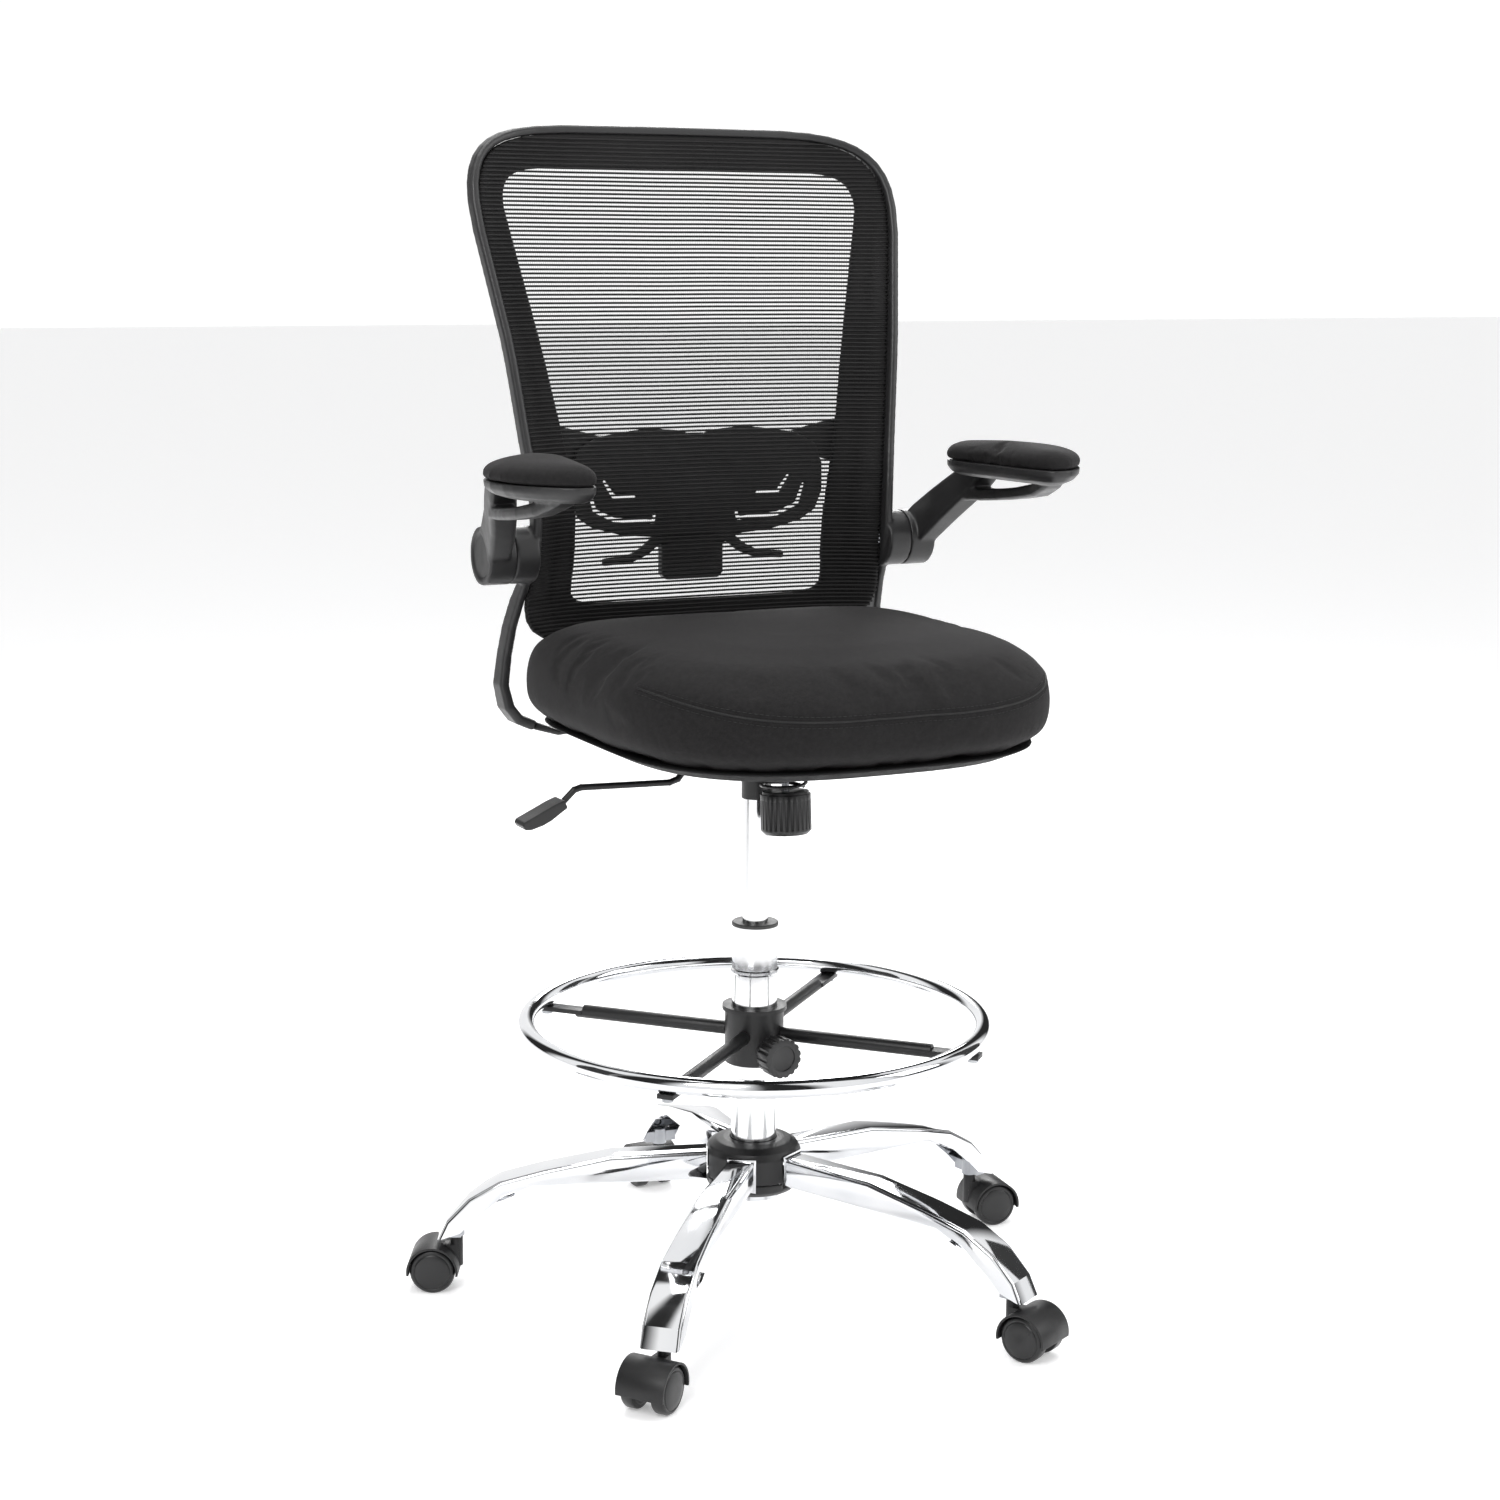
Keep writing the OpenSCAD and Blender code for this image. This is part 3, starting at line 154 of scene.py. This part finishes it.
def plastic(name, low, high, rough=0.42, grain=0.00012, spec=0.5):
    n = Nodes(name)
    tone = n.ramp(n.noise(9, 3), [(0.3, low), (0.7, high)])
    gloss = n.ramp(n.noise(60, 4), [(0.3, rough - 0.05), (0.7, rough + 0.06)])
    fine = n.noise(1900, 2)
    return n.set(Base_Color=tone, Roughness=gloss, Specular_IOR_Level=spec, Normal=n.bump(fine, grain, 0.55))


def metal(name, low, high, rough, spread=0.04, line=0.0, metallic=1.0):
    n = Nodes(name)
    tone = n.ramp(n.noise(14, 2), [(0.3, low), (0.7, high)])
    gloss = n.ramp(n.noise(45, 4), [(0.35, rough), (0.7, rough + spread)])
    made = dict(Base_Color=tone, Roughness=gloss, Metallic=metallic)
    if line:
        made["Normal"] = n.bump(n.noise(1.0, 2, at=n.stretch(1400, 1400, 60)), line, 0.5)
    return n.set(**made)


def weave(name, low, high, grain, depth, sheen=0.06, rough=0.85):
    """Plain woven cloth: crossed threads of uneven height, slubs and fibre fuzz."""
    n = Nodes(name)
    warp = n.noise(1.0, 2, 0.6, n.stretch(grain, grain * 0.35, grain * 0.8))
    weft = n.noise(1.0, 2, 0.6, n.stretch(grain * 0.35, grain, grain * 0.9))
    cloth = n.math("MAXIMUM", warp, weft)
    mottle = n.math("ADD", n.math("MULTIPLY", n.noise(210, 4, 0.65), 0.45), n.math("MULTIPLY", cloth, 0.55))
    tone = n.ramp(mottle, [(0.36, low), (0.68, high)])
    fuzz = n.noise(3000, 2, 0.7)
    height = n.math("ADD", cloth, n.math("MULTIPLY", fuzz, 0.35))
    wide = n.bump(n.noise(26, 3), 0.0009, 0.5)
    return n.set(Base_Color=tone, Roughness=rough, Sheen_Weight=sheen, Sheen_Roughness=0.5,
                 Sheen_Tint=(0.5, 0.48, 0.49, 1), Specular_IOR_Level=0.22,
                 Normal=n.bump(height, depth, 0.8, wide))


def knit(name, low, high, pitch):
    """Cloth with fine level ribs, as stretched over the border of the back."""
    n = Nodes(name)
    rib = n.wave("Z", pitch, distortion=0.15)
    thread = n.wave("X", pitch * 0.35)
    tone = n.ramp(n.math("ADD", n.math("MULTIPLY", rib, 0.6), n.math("MULTIPLY", n.noise(500, 3), 0.4)),
                  [(0.25, low), (0.8, high)])
    height = n.math("ADD", rib, n.math("MULTIPLY", n.math("ADD", thread, n.noise(2400, 2)), 0.25))
    return n.set(Base_Color=tone, Roughness=0.8, Sheen_Weight=0.05, Sheen_Roughness=0.5,
                 Sheen_Tint=(0.5, 0.48, 0.49, 1), Specular_IOR_Level=0.25, Normal=n.bump(height, 0.0006, 0.8))


CHROME = metal("polished_chrome", (0.66, 0.67, 0.69), (0.74, 0.745, 0.755), 0.05, 0.05)
BRIGHT = metal("bright_tube_chrome", (0.66, 0.67, 0.68), (0.74, 0.74, 0.745), 0.10, 0.05, 0.00002)
STEEL = metal("zinc_steel", (0.30, 0.31, 0.33), (0.42, 0.43, 0.45), 0.28, 0.12, 0.00005)
PAINTED = plastic("black_powder_coat", (0.006, 0.006, 0.0065), (0.010, 0.010, 0.0105), 0.40, 0.0002, 0.4)
SPRING = plastic("black_spring_lacquer", (0.006, 0.006, 0.0065), (0.010, 0.010, 0.0105), 0.24, 0.00004)
COVER = plastic("black_cover_plastic", (0.008, 0.008, 0.0085), (0.012, 0.012, 0.0125), 0.38, 0.0001, 0.42)
SHELL = plastic("black_moulded_plastic", (0.008, 0.008, 0.0085), (0.013, 0.013, 0.0135), 0.42, 0.00014, 0.4)
KNOB = plastic("black_knob_plastic", (0.008, 0.008, 0.0085), (0.013, 0.013, 0.0135), 0.33, 0.0001)
GREY = plastic("charcoal_moulded_plastic", (0.014, 0.0138, 0.0145), (0.020, 0.0198, 0.0205),
               0.40, 0.00012, 0.45)
ARM = plastic("charcoal_arm_plastic", (0.012, 0.0118, 0.0123), (0.018, 0.0178, 0.0184), 0.40, 0.00012, 0.45)
WHEEL = plastic("black_wheel_nylon", (0.007, 0.007, 0.0075), (0.012, 0.012, 0.0125), 0.32, 0.00008, 0.45)
NYLON = plastic("dark_nylon", (0.03, 0.03, 0.03), (0.045, 0.045, 0.045), 0.5)
CLOTH = weave("black_seat_weave", (0.0040, 0.0038, 0.0040), (0.013, 0.0122, 0.0126), 1500, 0.0004)
PAD = weave("black_pad_cloth", (0.0042, 0.0040, 0.0042), (0.013, 0.0122, 0.0126), 1700, 0.0003)
BOARD = plastic("textured_pan_plastic", (0.005, 0.005, 0.0052), (0.008, 0.008, 0.0083), 0.65, 0.0003, 0.15)
THREAD = plastic("black_thread", (0.006, 0.006, 0.006), (0.012, 0.012, 0.012), 0.6, 0.0001, 0.3)
BORDER = knit("ribbed_border_cloth", (0.003, 0.0029, 0.003), (0.010, 0.0095, 0.0098), 0.0045)
RIB = plastic("black_mesh_yarn", (0.005, 0.0048, 0.005), (0.010, 0.0095, 0.0098), 0.6, 0.0003, 0.3)


# ------------------------------------------------------------------ mesh helpers

def make(name, verts, faces, material, body):
    mesh = bpy.data.meshes.new(name)
    mesh.from_pydata(verts, [], faces)
    mesh.validate()
    return finish_piece(name, mesh, material, body)


def finish_piece(name, mesh, material, body):
    mesh.materials.clear()
    mesh.materials.append(material)
    mesh.shade_smooth()
    obj = bpy.data.objects.new(name, mesh)
    bpy.context.scene.collection.objects.link(obj)
    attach(obj, body)
    return obj


def welded(node):
    """A bmesh copy of a CAD node, with the loader's split vertices joined again."""
    bm = bmesh.new()
    bm.from_mesh(NODES[node].data)
    bmesh.ops.remove_doubles(bm, verts=bm.verts, dist=WELD)
    return bm


def apply_modifiers(obj):
    """Replaces the object's mesh by the result of its modifiers."""
    dg = bpy.context.evaluated_depsgraph_get()
    mesh = bpy.data.meshes.new_from_object(obj.evaluated_get(dg))
    obj.modifiers.clear()
    obj.data = mesh
    return obj


def inflate(mesh, amount):
    """Moves every point of a mesh outwards; the normals are read before any point moves."""
    normals = [v.normal.copy() for v in mesh.vertices]
    for v, normal in zip(mesh.vertices, normals):
        v.co += normal * amount


def moulded(name, node, material, body, voxel, rounds, grow=0.0):
    """A CAD node with rounded moulded edges: remeshed evenly, then smoothed."""
    bm = welded(node)
    mesh = bpy.data.meshes.new(name)
    bm.to_mesh(mesh)
    bm.free()
    obj = bpy.data.objects.new(name, mesh)
    bpy.context.scene.collection.objects.link(obj)
    remesh = obj.modifiers.new("even", "REMESH")
    remesh.mode, remesh.voxel_size, remesh.use_smooth_shade = "VOXEL", voxel, True
    if rounds:
        soft = obj.modifiers.new("soft", "SMOOTH")
        soft.factor, soft.iterations = 0.5, rounds
    apply_modifiers(obj)
    mesh = obj.data
    inflate(mesh, grow)
    bpy.data.objects.remove(obj)
    piece = finish_piece(name, mesh, material, body)
    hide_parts(node)
    return piece


def machined(name, node, material, body, width, segments=2, angle=32):
    """A CAD node with small even bevels along its edges."""
    bm = welded(node)
    bmesh.ops.dissolve_limit(bm, angle_limit=math.radians(0.6), verts=bm.verts, edges=bm.edges)
    mesh = bpy.data.meshes.new(name)
    bm.to_mesh(mesh)
    bm.free()
    obj = bpy.data.objects.new(name, mesh)
    bpy.context.scene.collection.objects.link(obj)
    bevel = obj.modifiers.new("edge", "BEVEL")
    bevel.width, bevel.segments, bevel.limit_method = width, segments, "ANGLE"
    bevel.angle_limit, bevel.use_clamp_overlap = math.radians(angle), True
    apply_modifiers(obj)
    mesh = obj.data
    bpy.data.objects.remove(obj)
    piece = finish_piece(name, mesh, material, body)
    mesh.set_sharp_from_angle(angle=math.radians(50))
    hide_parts(node)
    return piece


def pressed_legs(name, node, material, body, radius):
    """The legs with their long outer edges rounded like bent steel; the rims of the openings stay sharp."""
    bm = welded(node)
    bmesh.ops.dissolve_limit(bm, angle_limit=math.radians(0.6), verts=bm.verts, edges=bm.edges)
    chosen = []
    for e in bm.edges:
        if len(e.link_faces) != 2 or not math.radians(60) < e.calc_face_angle_signed() < math.radians(120):
            continue
        far = max(math.hypot(v.co.x, v.co.y) for v in e.verts)
        thin = any(f.calc_area() < 1.3 * radius * max(e.calc_length(), 2 * radius) for f in e.link_faces)
        under = any(f.normal.z < -0.95 and f.calc_center_median().z < RIM_TOP for f in e.link_faces)
        if far > COVERED_R and not thin and not under:
            chosen.append(e)
    bmesh.ops.bevel(bm, geom=chosen, offset=radius, segments=4, profile=0.5, affect="EDGES",
                    clamp_overlap=False)
    mesh = bpy.data.meshes.new(name)
    bm.to_mesh(mesh)
    bm.free()
    piece = finish_piece(name, mesh, material, body)
    mesh.set_sharp_from_angle(angle=math.radians(44))
    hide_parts(node)
    return piece


def round_ring(name, node, material, body, around=240, sides=28):
    """A finely divided torus in the place of a ring of round tube."""
    lo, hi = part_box(node)
    mid = (Vector(lo) + Vector(hi)) / 2
    small = (hi.z - lo.z) / 2
    big = (hi.x - lo.x) / 2 - small
    verts, faces = [], []
    for k in range(around):
        a = 2 * math.pi * k / around
        for j in range(sides):
            b = 2 * math.pi * j / sides
            r = big + small * math.cos(b)
            verts.append(mid + Vector((r * math.cos(a), r * math.sin(a), small * math.sin(b))))
            n, m = (k + 1) % around, (j + 1) % sides
            faces.append((k * sides + j, n * sides + j, n * sides + m, k * sides + m))
    piece = make(name, verts, faces, material, body)
    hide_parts(node)
    return piece


def paint(material, *nodes):
    """Gives a material to CAD nodes that keep their shape."""
    for node in nodes:
        obj = NODES[node]
        if not obj.material_slots:
            obj.data.materials.append(material)
        for s in obj.material_slots:
            s.material = material


def tube(verts, faces, line, radius, sides=6, flat=1.0):
    """Adds a closed tube along a line of points; flat squeezes it along the surface normal."""
    start, n = len(verts), len(line)
    for k, p in enumerate(line):
        ahead = (line[min(k + 1, n - 1)] - line[max(k - 1, 0)]).normalized()
        side = ahead.cross(Vector((0, 1, 0)))
        side = side.normalized() if side.length > 1e-4 else Vector((1, 0, 0))
        out = side.cross(ahead)
        for j in range(sides):
            a = 2 * math.pi * j / sides
            verts.append(p + side * (radius * math.cos(a)) + out * (radius * flat * math.sin(a)))
    for k in range(n - 1):
        for j in range(sides):
            a, b = start + k * sides + j, start + k * sides + (j + 1) % sides
            faces.append((a, b, b + sides, a + sides))
    faces.append(tuple(start + j for j in reversed(range(sides))))
    faces.append(tuple(start + (n - 1) * sides + j for j in range(sides)))


def wobble(*values):
    """A repeatable number from -1 to 1 that varies smoothly with its inputs."""
    total = 0.0
    for k, v in enumerate(values):
        total += math.sin(v * (1.7 + 0.9 * k) + k) + 0.6 * math.sin(v * (3.9 + 1.3 * k) + 2.1 * k)
    return total / (1.6 * len(values))


# ------------------------------------------------------------------ back

class Front:
    """The front surface of the back mesh as a smooth height field y(x, z)."""

    def __init__(self):
        bm = welded("back_mesh")
        self.tree = BVHTree.FromBMesh(bm)
        bm.free()
        self.lo, self.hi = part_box("back_mesh")

    def hit(self, x, z):
        spot = self.tree.ray_cast(Vector((x, self.lo.y - 0.2, z)), Vector((0, 1, 0)))[0]
        return None if spot is None else spot.y

    def half_width(self, z):
        inside, outside = 0.05, self.hi.x + 0.01
        if self.hit(inside, z) is None:
            return None
        for _ in range(18):
            mid = (inside + outside) / 2
            inside, outside = (mid, outside) if self.hit(mid, z) is not None else (inside, mid)
        return inside

    def row(self, z, count):
        """Points of a level line across the cloth, evened out so that no facet of the CAD shows."""
        half = self.half_width(z)
        if half is None:
            return None
        xs = [-half + 2 * half * k / count for k in range(count + 1)]
        ys = [self.hit(x * 0.9995, z) for x in xs]
        if any(y is None for y in ys):
            return None
        for _ in range(3):
            ys = [ys[0]] + [(ys[k - 1] + 2 * ys[k] + ys[k + 1]) / 4 for k in range(1, count)] + [ys[-1]]
        return [Vector((x, y, z)) for x, y in zip(xs, ys)]


def add_back():
    front = Front()
    count = 44
    rows, z = [], front.lo.z + 0.003
    while z < front.hi.z - 0.0015:
        line = front.row(z, count)
        if line:
            rows.append(line)
        z += RIB_PITCH
    verts, faces = [], []
    for r, line in enumerate(rows):
        for p in line:
            p.z += RIB_WANDER * wobble(p.x * 14, r * 0.9)
            p.y += 0.0003
        tube(verts, faces, line, RIB_RADIUS, 6, RIB_FLATNESS)
    first_thread_face = len(faces)
    threads = count * 4
    for k in range(1, threads):
        f = k / threads
        line = []
        for row in rows[::3] + [rows[-1]]:
            at = f * count
            i = min(int(at), count - 1)
            line.append(row[i].lerp(row[i + 1], at - i) + Vector((0, 0.0002, 0)))
        tube(verts, faces, line, THREAD_RADIUS, 3)
    cloth = make("back_mesh_cloth", verts, faces, RIB, "seat")
    cloth.data.materials.append(THREAD)
    for polygon in cloth.data.polygons[first_thread_face:]:
        polygon.material_index = 1
    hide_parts("back_mesh")
    moulded("back_border", "mesh_frame", BORDER, "seat", 0.0020, 5, 0.0009)
    moulded("back_frame_shell", "back_frame", GREY, "seat", 0.0016, 5, 0.0003)
    moulded("lumbar_bridge_shell", "lumbar_bridge", SHELL, "seat", 0.0016, 4)
    moulded("lumbar_pad_shell", "lumbar_pad", SHELL, "lumbar", 0.0013, 3)


# ------------------------------------------------------------------ padding

def padded_piece(name, node, material, body, voxel, rounds, shrink, pressure, cap):
    """Foam under cloth: the CAD solid remeshed, evened out, swollen by a cloth simulation and subdivided."""
    bm = welded(node)
    mesh = bpy.data.meshes.new(name)
    bm.to_mesh(mesh)
    bm.free()
    obj = bpy.data.objects.new(name, mesh)
    bpy.context.scene.collection.objects.link(obj)
    remesh = obj.modifiers.new("even", "REMESH")
    remesh.mode, remesh.voxel_size, remesh.use_smooth_shade = "VOXEL", voxel, True
    soft = obj.modifiers.new("soft", "SMOOTH")
    soft.factor, soft.iterations = 0.5, rounds
    apply_modifiers(obj)
    inflate(obj.data, -shrink)
    rest = [v.co.copy() for v in obj.data.vertices]
    cloth = obj.modifiers.new("cloth", "CLOTH")
    cloth.settings.quality = 5
    cloth.settings.use_pressure = True
    cloth.settings.uniform_pressure_force = pressure
    cloth.settings.effector_weights.gravity = 0
    cloth.settings.tension_stiffness = cloth.settings.compression_stiffness = 25
    cloth.settings.bending_stiffness = 2
    cloth.collision_settings.use_collision = False
    cloth.point_cache.frame_start, cloth.point_cache.frame_end = 1, LAST_FRAME
    for f in range(1, LAST_FRAME + 1):
        bpy.context.scene.frame_set(f)
    apply_modifiers(obj)
    bpy.context.scene.frame_set(1)
    for v, start in zip(obj.data.vertices, rest):
        move = v.co - start
        if move.length > cap:
            v.co = start + move.normalized() * cap
    fine = obj.modifiers.new("fine", "SUBSURF")
    fine.levels = fine.render_levels = 1
    apply_modifiers(obj)
    mesh = obj.data
    bpy.data.objects.remove(obj)
    piece = finish_piece(name, mesh, material, body)
    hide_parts(node)
    return piece


def surface_of(obj):
    bm = bmesh.new()
    bm.from_mesh(obj.data)
    tree = BVHTree.FromBMesh(bm)
    bm.free()
    return tree


def seam_line(tree, points, lift=0.0):
    """Points brought to the nearest place on a surface."""
    out = []
    for p in points:
        spot, normal, _, _ = tree.find_nearest(p)
        out.append(spot + normal * lift)
    return out


def stitches(name, line, body):
    """A row of short thread stitches along a line."""
    verts, faces, at = [], [], 0.0
    lengths = [(b - a).length for a, b in zip(line, line[1:])]
    total = sum(lengths)

    def spot(s):
        i = 0
        while i < len(lengths) - 1 and s > lengths[i]:
            s -= lengths[i]
            i += 1
        return line[i].lerp(line[i + 1], min(s / max(lengths[i], 1e-9), 1))

    while at + STITCH_LENGTH < total:
        a, b = spot(at), spot(at + STITCH_LENGTH)
        tube(verts, faces, [a.lerp(b, f) for f in (0, 0.2, 0.5, 0.8, 1)], STITCH_RADIUS, 5)
        at += STITCH_SPACING
    return make(name, verts, faces, THREAD, body)


def add_seat():
    cushion = padded_piece("seat_cushion_cover", "seat_cushion", CLOTH, "seat",
                           0.005, 12, 0.001, 4.0, 0.009)
    lo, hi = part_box("seat_cushion")
    tree = surface_of(cushion)
    # Seam between the top panel and the band round the front and the sides
    line, steps = [], 150
    for k in range(steps + 1):
        x = lo.x + 0.004 + (hi.x - lo.x - 0.008) * k / steps
        f = abs(2 * k / steps - 1)
        z = lo.z + (hi.z - lo.z) * (0.50 + 0.30 * f ** 4)
        y = lo.y - 0.02 + 0.13 * f ** 3.2
        hit = tree.ray_cast(Vector((x, y - 0.1, z)), Vector((0, 1, 0)))[0]
        if hit is not None and hit.y < lo.y + 0.16:
            line.append(hit)
    piping = [(a + b) / 2 for a, b in zip(line, line[1:])]
    verts, faces = [], []
    tube(verts, faces, seam_line(tree, piping, 0.0002), SEAM_RADIUS, 6)
    make("seat_seam", verts, faces, THREAD, "seat")
    for name, dz in (("seat_stitches_upper", 0.0055), ("seat_stitches_lower", -0.0055)):
        shifted = seam_line(tree, [p + Vector((0, 0, dz)) for p in piping], 0.0002)
        stitches(name, shifted, "seat")
    moulded("seat_board", "seat_pan", BOARD, "seat", 0.0024, 4, 0.0004)


def add_arms():
    for side in ("left", "right"):
        moulded("arm_bracket_shell_" + side, "arm_bracket_" + side, ARM,
                "arm_" + side, 0.0014, 6)
        padded_piece("arm_pad_cover_" + side, "arm_pad_" + side, PAD, "arm_" + side,
                     0.003, 10, 0.0, 4.0, 0.006)


# ------------------------------------------------------------------ base, column and mechanism

def add_hardware():
    pressed_legs("leg_steel", "base_legs", CHROME, "base", LEG_EDGE)
    round_ring("foot_ring_tube", "foot_ring", CHROME, "ring")
    moulded("hub_cover_upper_shell", "hub_cover_upper", COVER, "base", 0.0011, 3)
    moulded("hub_cover_lower_shell", "hub_cover_lower", COVER, "base", 0.0011, 3)
    for i in range(1, 6):
        machined(f"caster_hood_{i}", f"caster_housing_{i}", SHELL, f"caster_{i}", 0.0006, 2)
        for side in ("left", "right"):
            wheel = f"wheel_{side}_{i}"
            machined(wheel + "_tread", wheel, WHEEL, wheel, 0.0007, 2)
        paint(STEEL, f"caster_pins_{i}")
    paint(CHROME, "base_hub_tube")
    paint(BRIGHT, "column_tube", "gas_cylinder", "pressure_tube")
    paint(STEEL, "caster_sockets", "thrust_bearing", "ring_bolts", "piston_rod", "valve_pin", "mech_pins",
          "tension_bolt", "seat_screws", "arm_pins")
    paint(NYLON, "column_bush", "clamp_pad")
    paint(SPRING, "tension_spring")
    machined("spoke_tubes", "ring_spokes", PAINTED, "ring", 0.0006, 2)
    machined("ring_hub_shell", "ring_hub", SHELL, "ring", 0.0010, 3)
    machined("clamp_knob_shell", "clamp_knob", KNOB, "clamp_knob", 0.0006, 2, 24)
    machined("tension_knob_shell", "tension_knob", KNOB, "tension_knob", 0.0006, 2, 24)
    machined("mech_case", "mech_housing", PAINTED, "lift", 0.0008, 2)
    machined("seat_plate_steel", "seat_plate", PAINTED, "seat", 0.0007, 2)
    machined("seat_bracket_steel", "seat_brackets", PAINTED, "seat", 0.0008, 2)
    machined("lever_rod_steel", "lever_rod", PAINTED, "lever", 0.0004, 2, 40)
    moulded("lever_handle_grip", "lever_handle", ARM, "lever", 0.0008, 6)


# ------------------------------------------------------------------ studio

def area_light(name, where, target, size, power, size_y=None):
    data = bpy.data.lights.new(name, "AREA")
    data.energy, data.size = power, size
    if size_y:
        data.shape, data.size_y = "RECTANGLE", size_y
    obj = bpy.data.objects.new(name, data)
    obj.location = where
    obj.rotation_mode = "QUATERNION"
    obj.rotation_quaternion = (Vector(target) - Vector(where)).to_track_quat("-Z", "Y")
    bpy.context.scene.collection.objects.link(obj)
    return obj


def card(name, where, target, width, height, value):
    """A plain upright card outside the view, for the chrome to reflect."""
    n = Nodes(name)
    n.set(Base_Color=(value, value, value, 1), Roughness=0.9)
    w, h = width / 2, height / 2
    mesh = bpy.data.meshes.new(name)
    mesh.from_pydata([(-w, -h, 0), (w, -h, 0), (w, h, 0), (-w, h, 0)], [], [(0, 1, 2, 3)])
    mesh.materials.append(n.mat)
    obj = bpy.data.objects.new(name, mesh)
    obj.location = where
    obj.rotation_mode = "QUATERNION"
    obj.rotation_quaternion = (Vector(target) - Vector(where)).to_track_quat("Z", "Y")
    bpy.context.scene.collection.objects.link(obj)


def add_world():
    """A white room to the camera; to the chrome, a bright room with a few dark upright bands."""
    world = bpy.data.worlds.new("studio")
    world.use_nodes = True
    bpy.context.scene.world = world
    tree = world.node_tree
    new, link = tree.nodes.new, tree.links.new
    split = new("ShaderNodeSeparateXYZ")
    link(new("ShaderNodeTexCoord").outputs["Generated"], split.inputs[0])
    turn = new("ShaderNodeMath")
    turn.operation = "ARCTAN2"
    link(split.outputs["Y"], turn.inputs[0])
    link(split.outputs["X"], turn.inputs[1])
    bands = new("ShaderNodeMath")
    bands.operation = "MULTIPLY_ADD"
    link(turn.outputs[0], bands.inputs[0])
    bands.inputs[1].default_value, bands.inputs[2].default_value = 5, 0.9
    wave = new("ShaderNodeMath")
    wave.operation = "SINE"
    link(bands.outputs[0], wave.inputs[0])
    room = new("ShaderNodeMapRange")
    link(wave.outputs[0], room.inputs["Value"])
    for key, value in (("From Min", -0.6), ("From Max", 0.3), ("To Min", 0.03), ("To Max", 1.15)):
        room.inputs[key].default_value = value
    seen = new("ShaderNodeLightPath").outputs["Is Camera Ray"]
    mix = new("ShaderNodeMix")
    mix.data_type = "FLOAT"
    link(seen, mix.inputs[0])
    link(room.outputs["Result"], mix.inputs[2])
    mix.inputs[3].default_value = 1.05
    back = tree.nodes["Background"]
    back.inputs["Color"].default_value = (1, 1, 1, 1)
    link(mix.outputs[0], back.inputs["Strength"])


def add_studio():
    bpy.context.scene.view_settings.view_transform = "Standard"
    n = Nodes("floor_white")
    n.set(Base_Color=(0.93, 0.93, 0.935, 1), Roughness=n.ramp(n.noise(3, 2), [(0.3, 0.5), (0.7, 0.6)]),
          Specular_IOR_Level=0.0, Emission_Color=(1, 1, 1, 1), Emission_Strength=0.30)
    mesh = bpy.data.meshes.new("floor")
    mesh.from_pydata([(-30, -30, 0), (30, -30, 0), (30, 30, 0), (-30, 30, 0)], [], [(0, 1, 2, 3)])
    mesh.materials.append(n.mat)
    floor = bpy.data.objects.new("floor", mesh)
    bpy.context.scene.collection.objects.link(floor)
    add_world()
    area_light("key", (-2.6, -2.4, 3.4), (0, 0, 0.7), 1.8, 95)
    area_light("fill", (2.9, -1.8, 2.2), (0, 0, 0.6), 1.6, 45, 2.2)
    area_light("top", (0.2, 0.4, 3.6), (0, 0, 0.5), 2.2, 60)
    area_light("rim", (1.6, 3.0, 2.4), (0, 0, 0.8), 1.4, 60)
    card("dark_card_left", (-2.4, 0.6, 0.9), (0, 0, 0.4), 0.9, 2.0, 0.02)
    card("dark_card_right", (2.5, 0.2, 0.9), (0, 0, 0.4), 0.8, 2.0, 0.02)


add_camera()
add_studio()
add_back()
add_seat()
add_arms()
add_hardware()
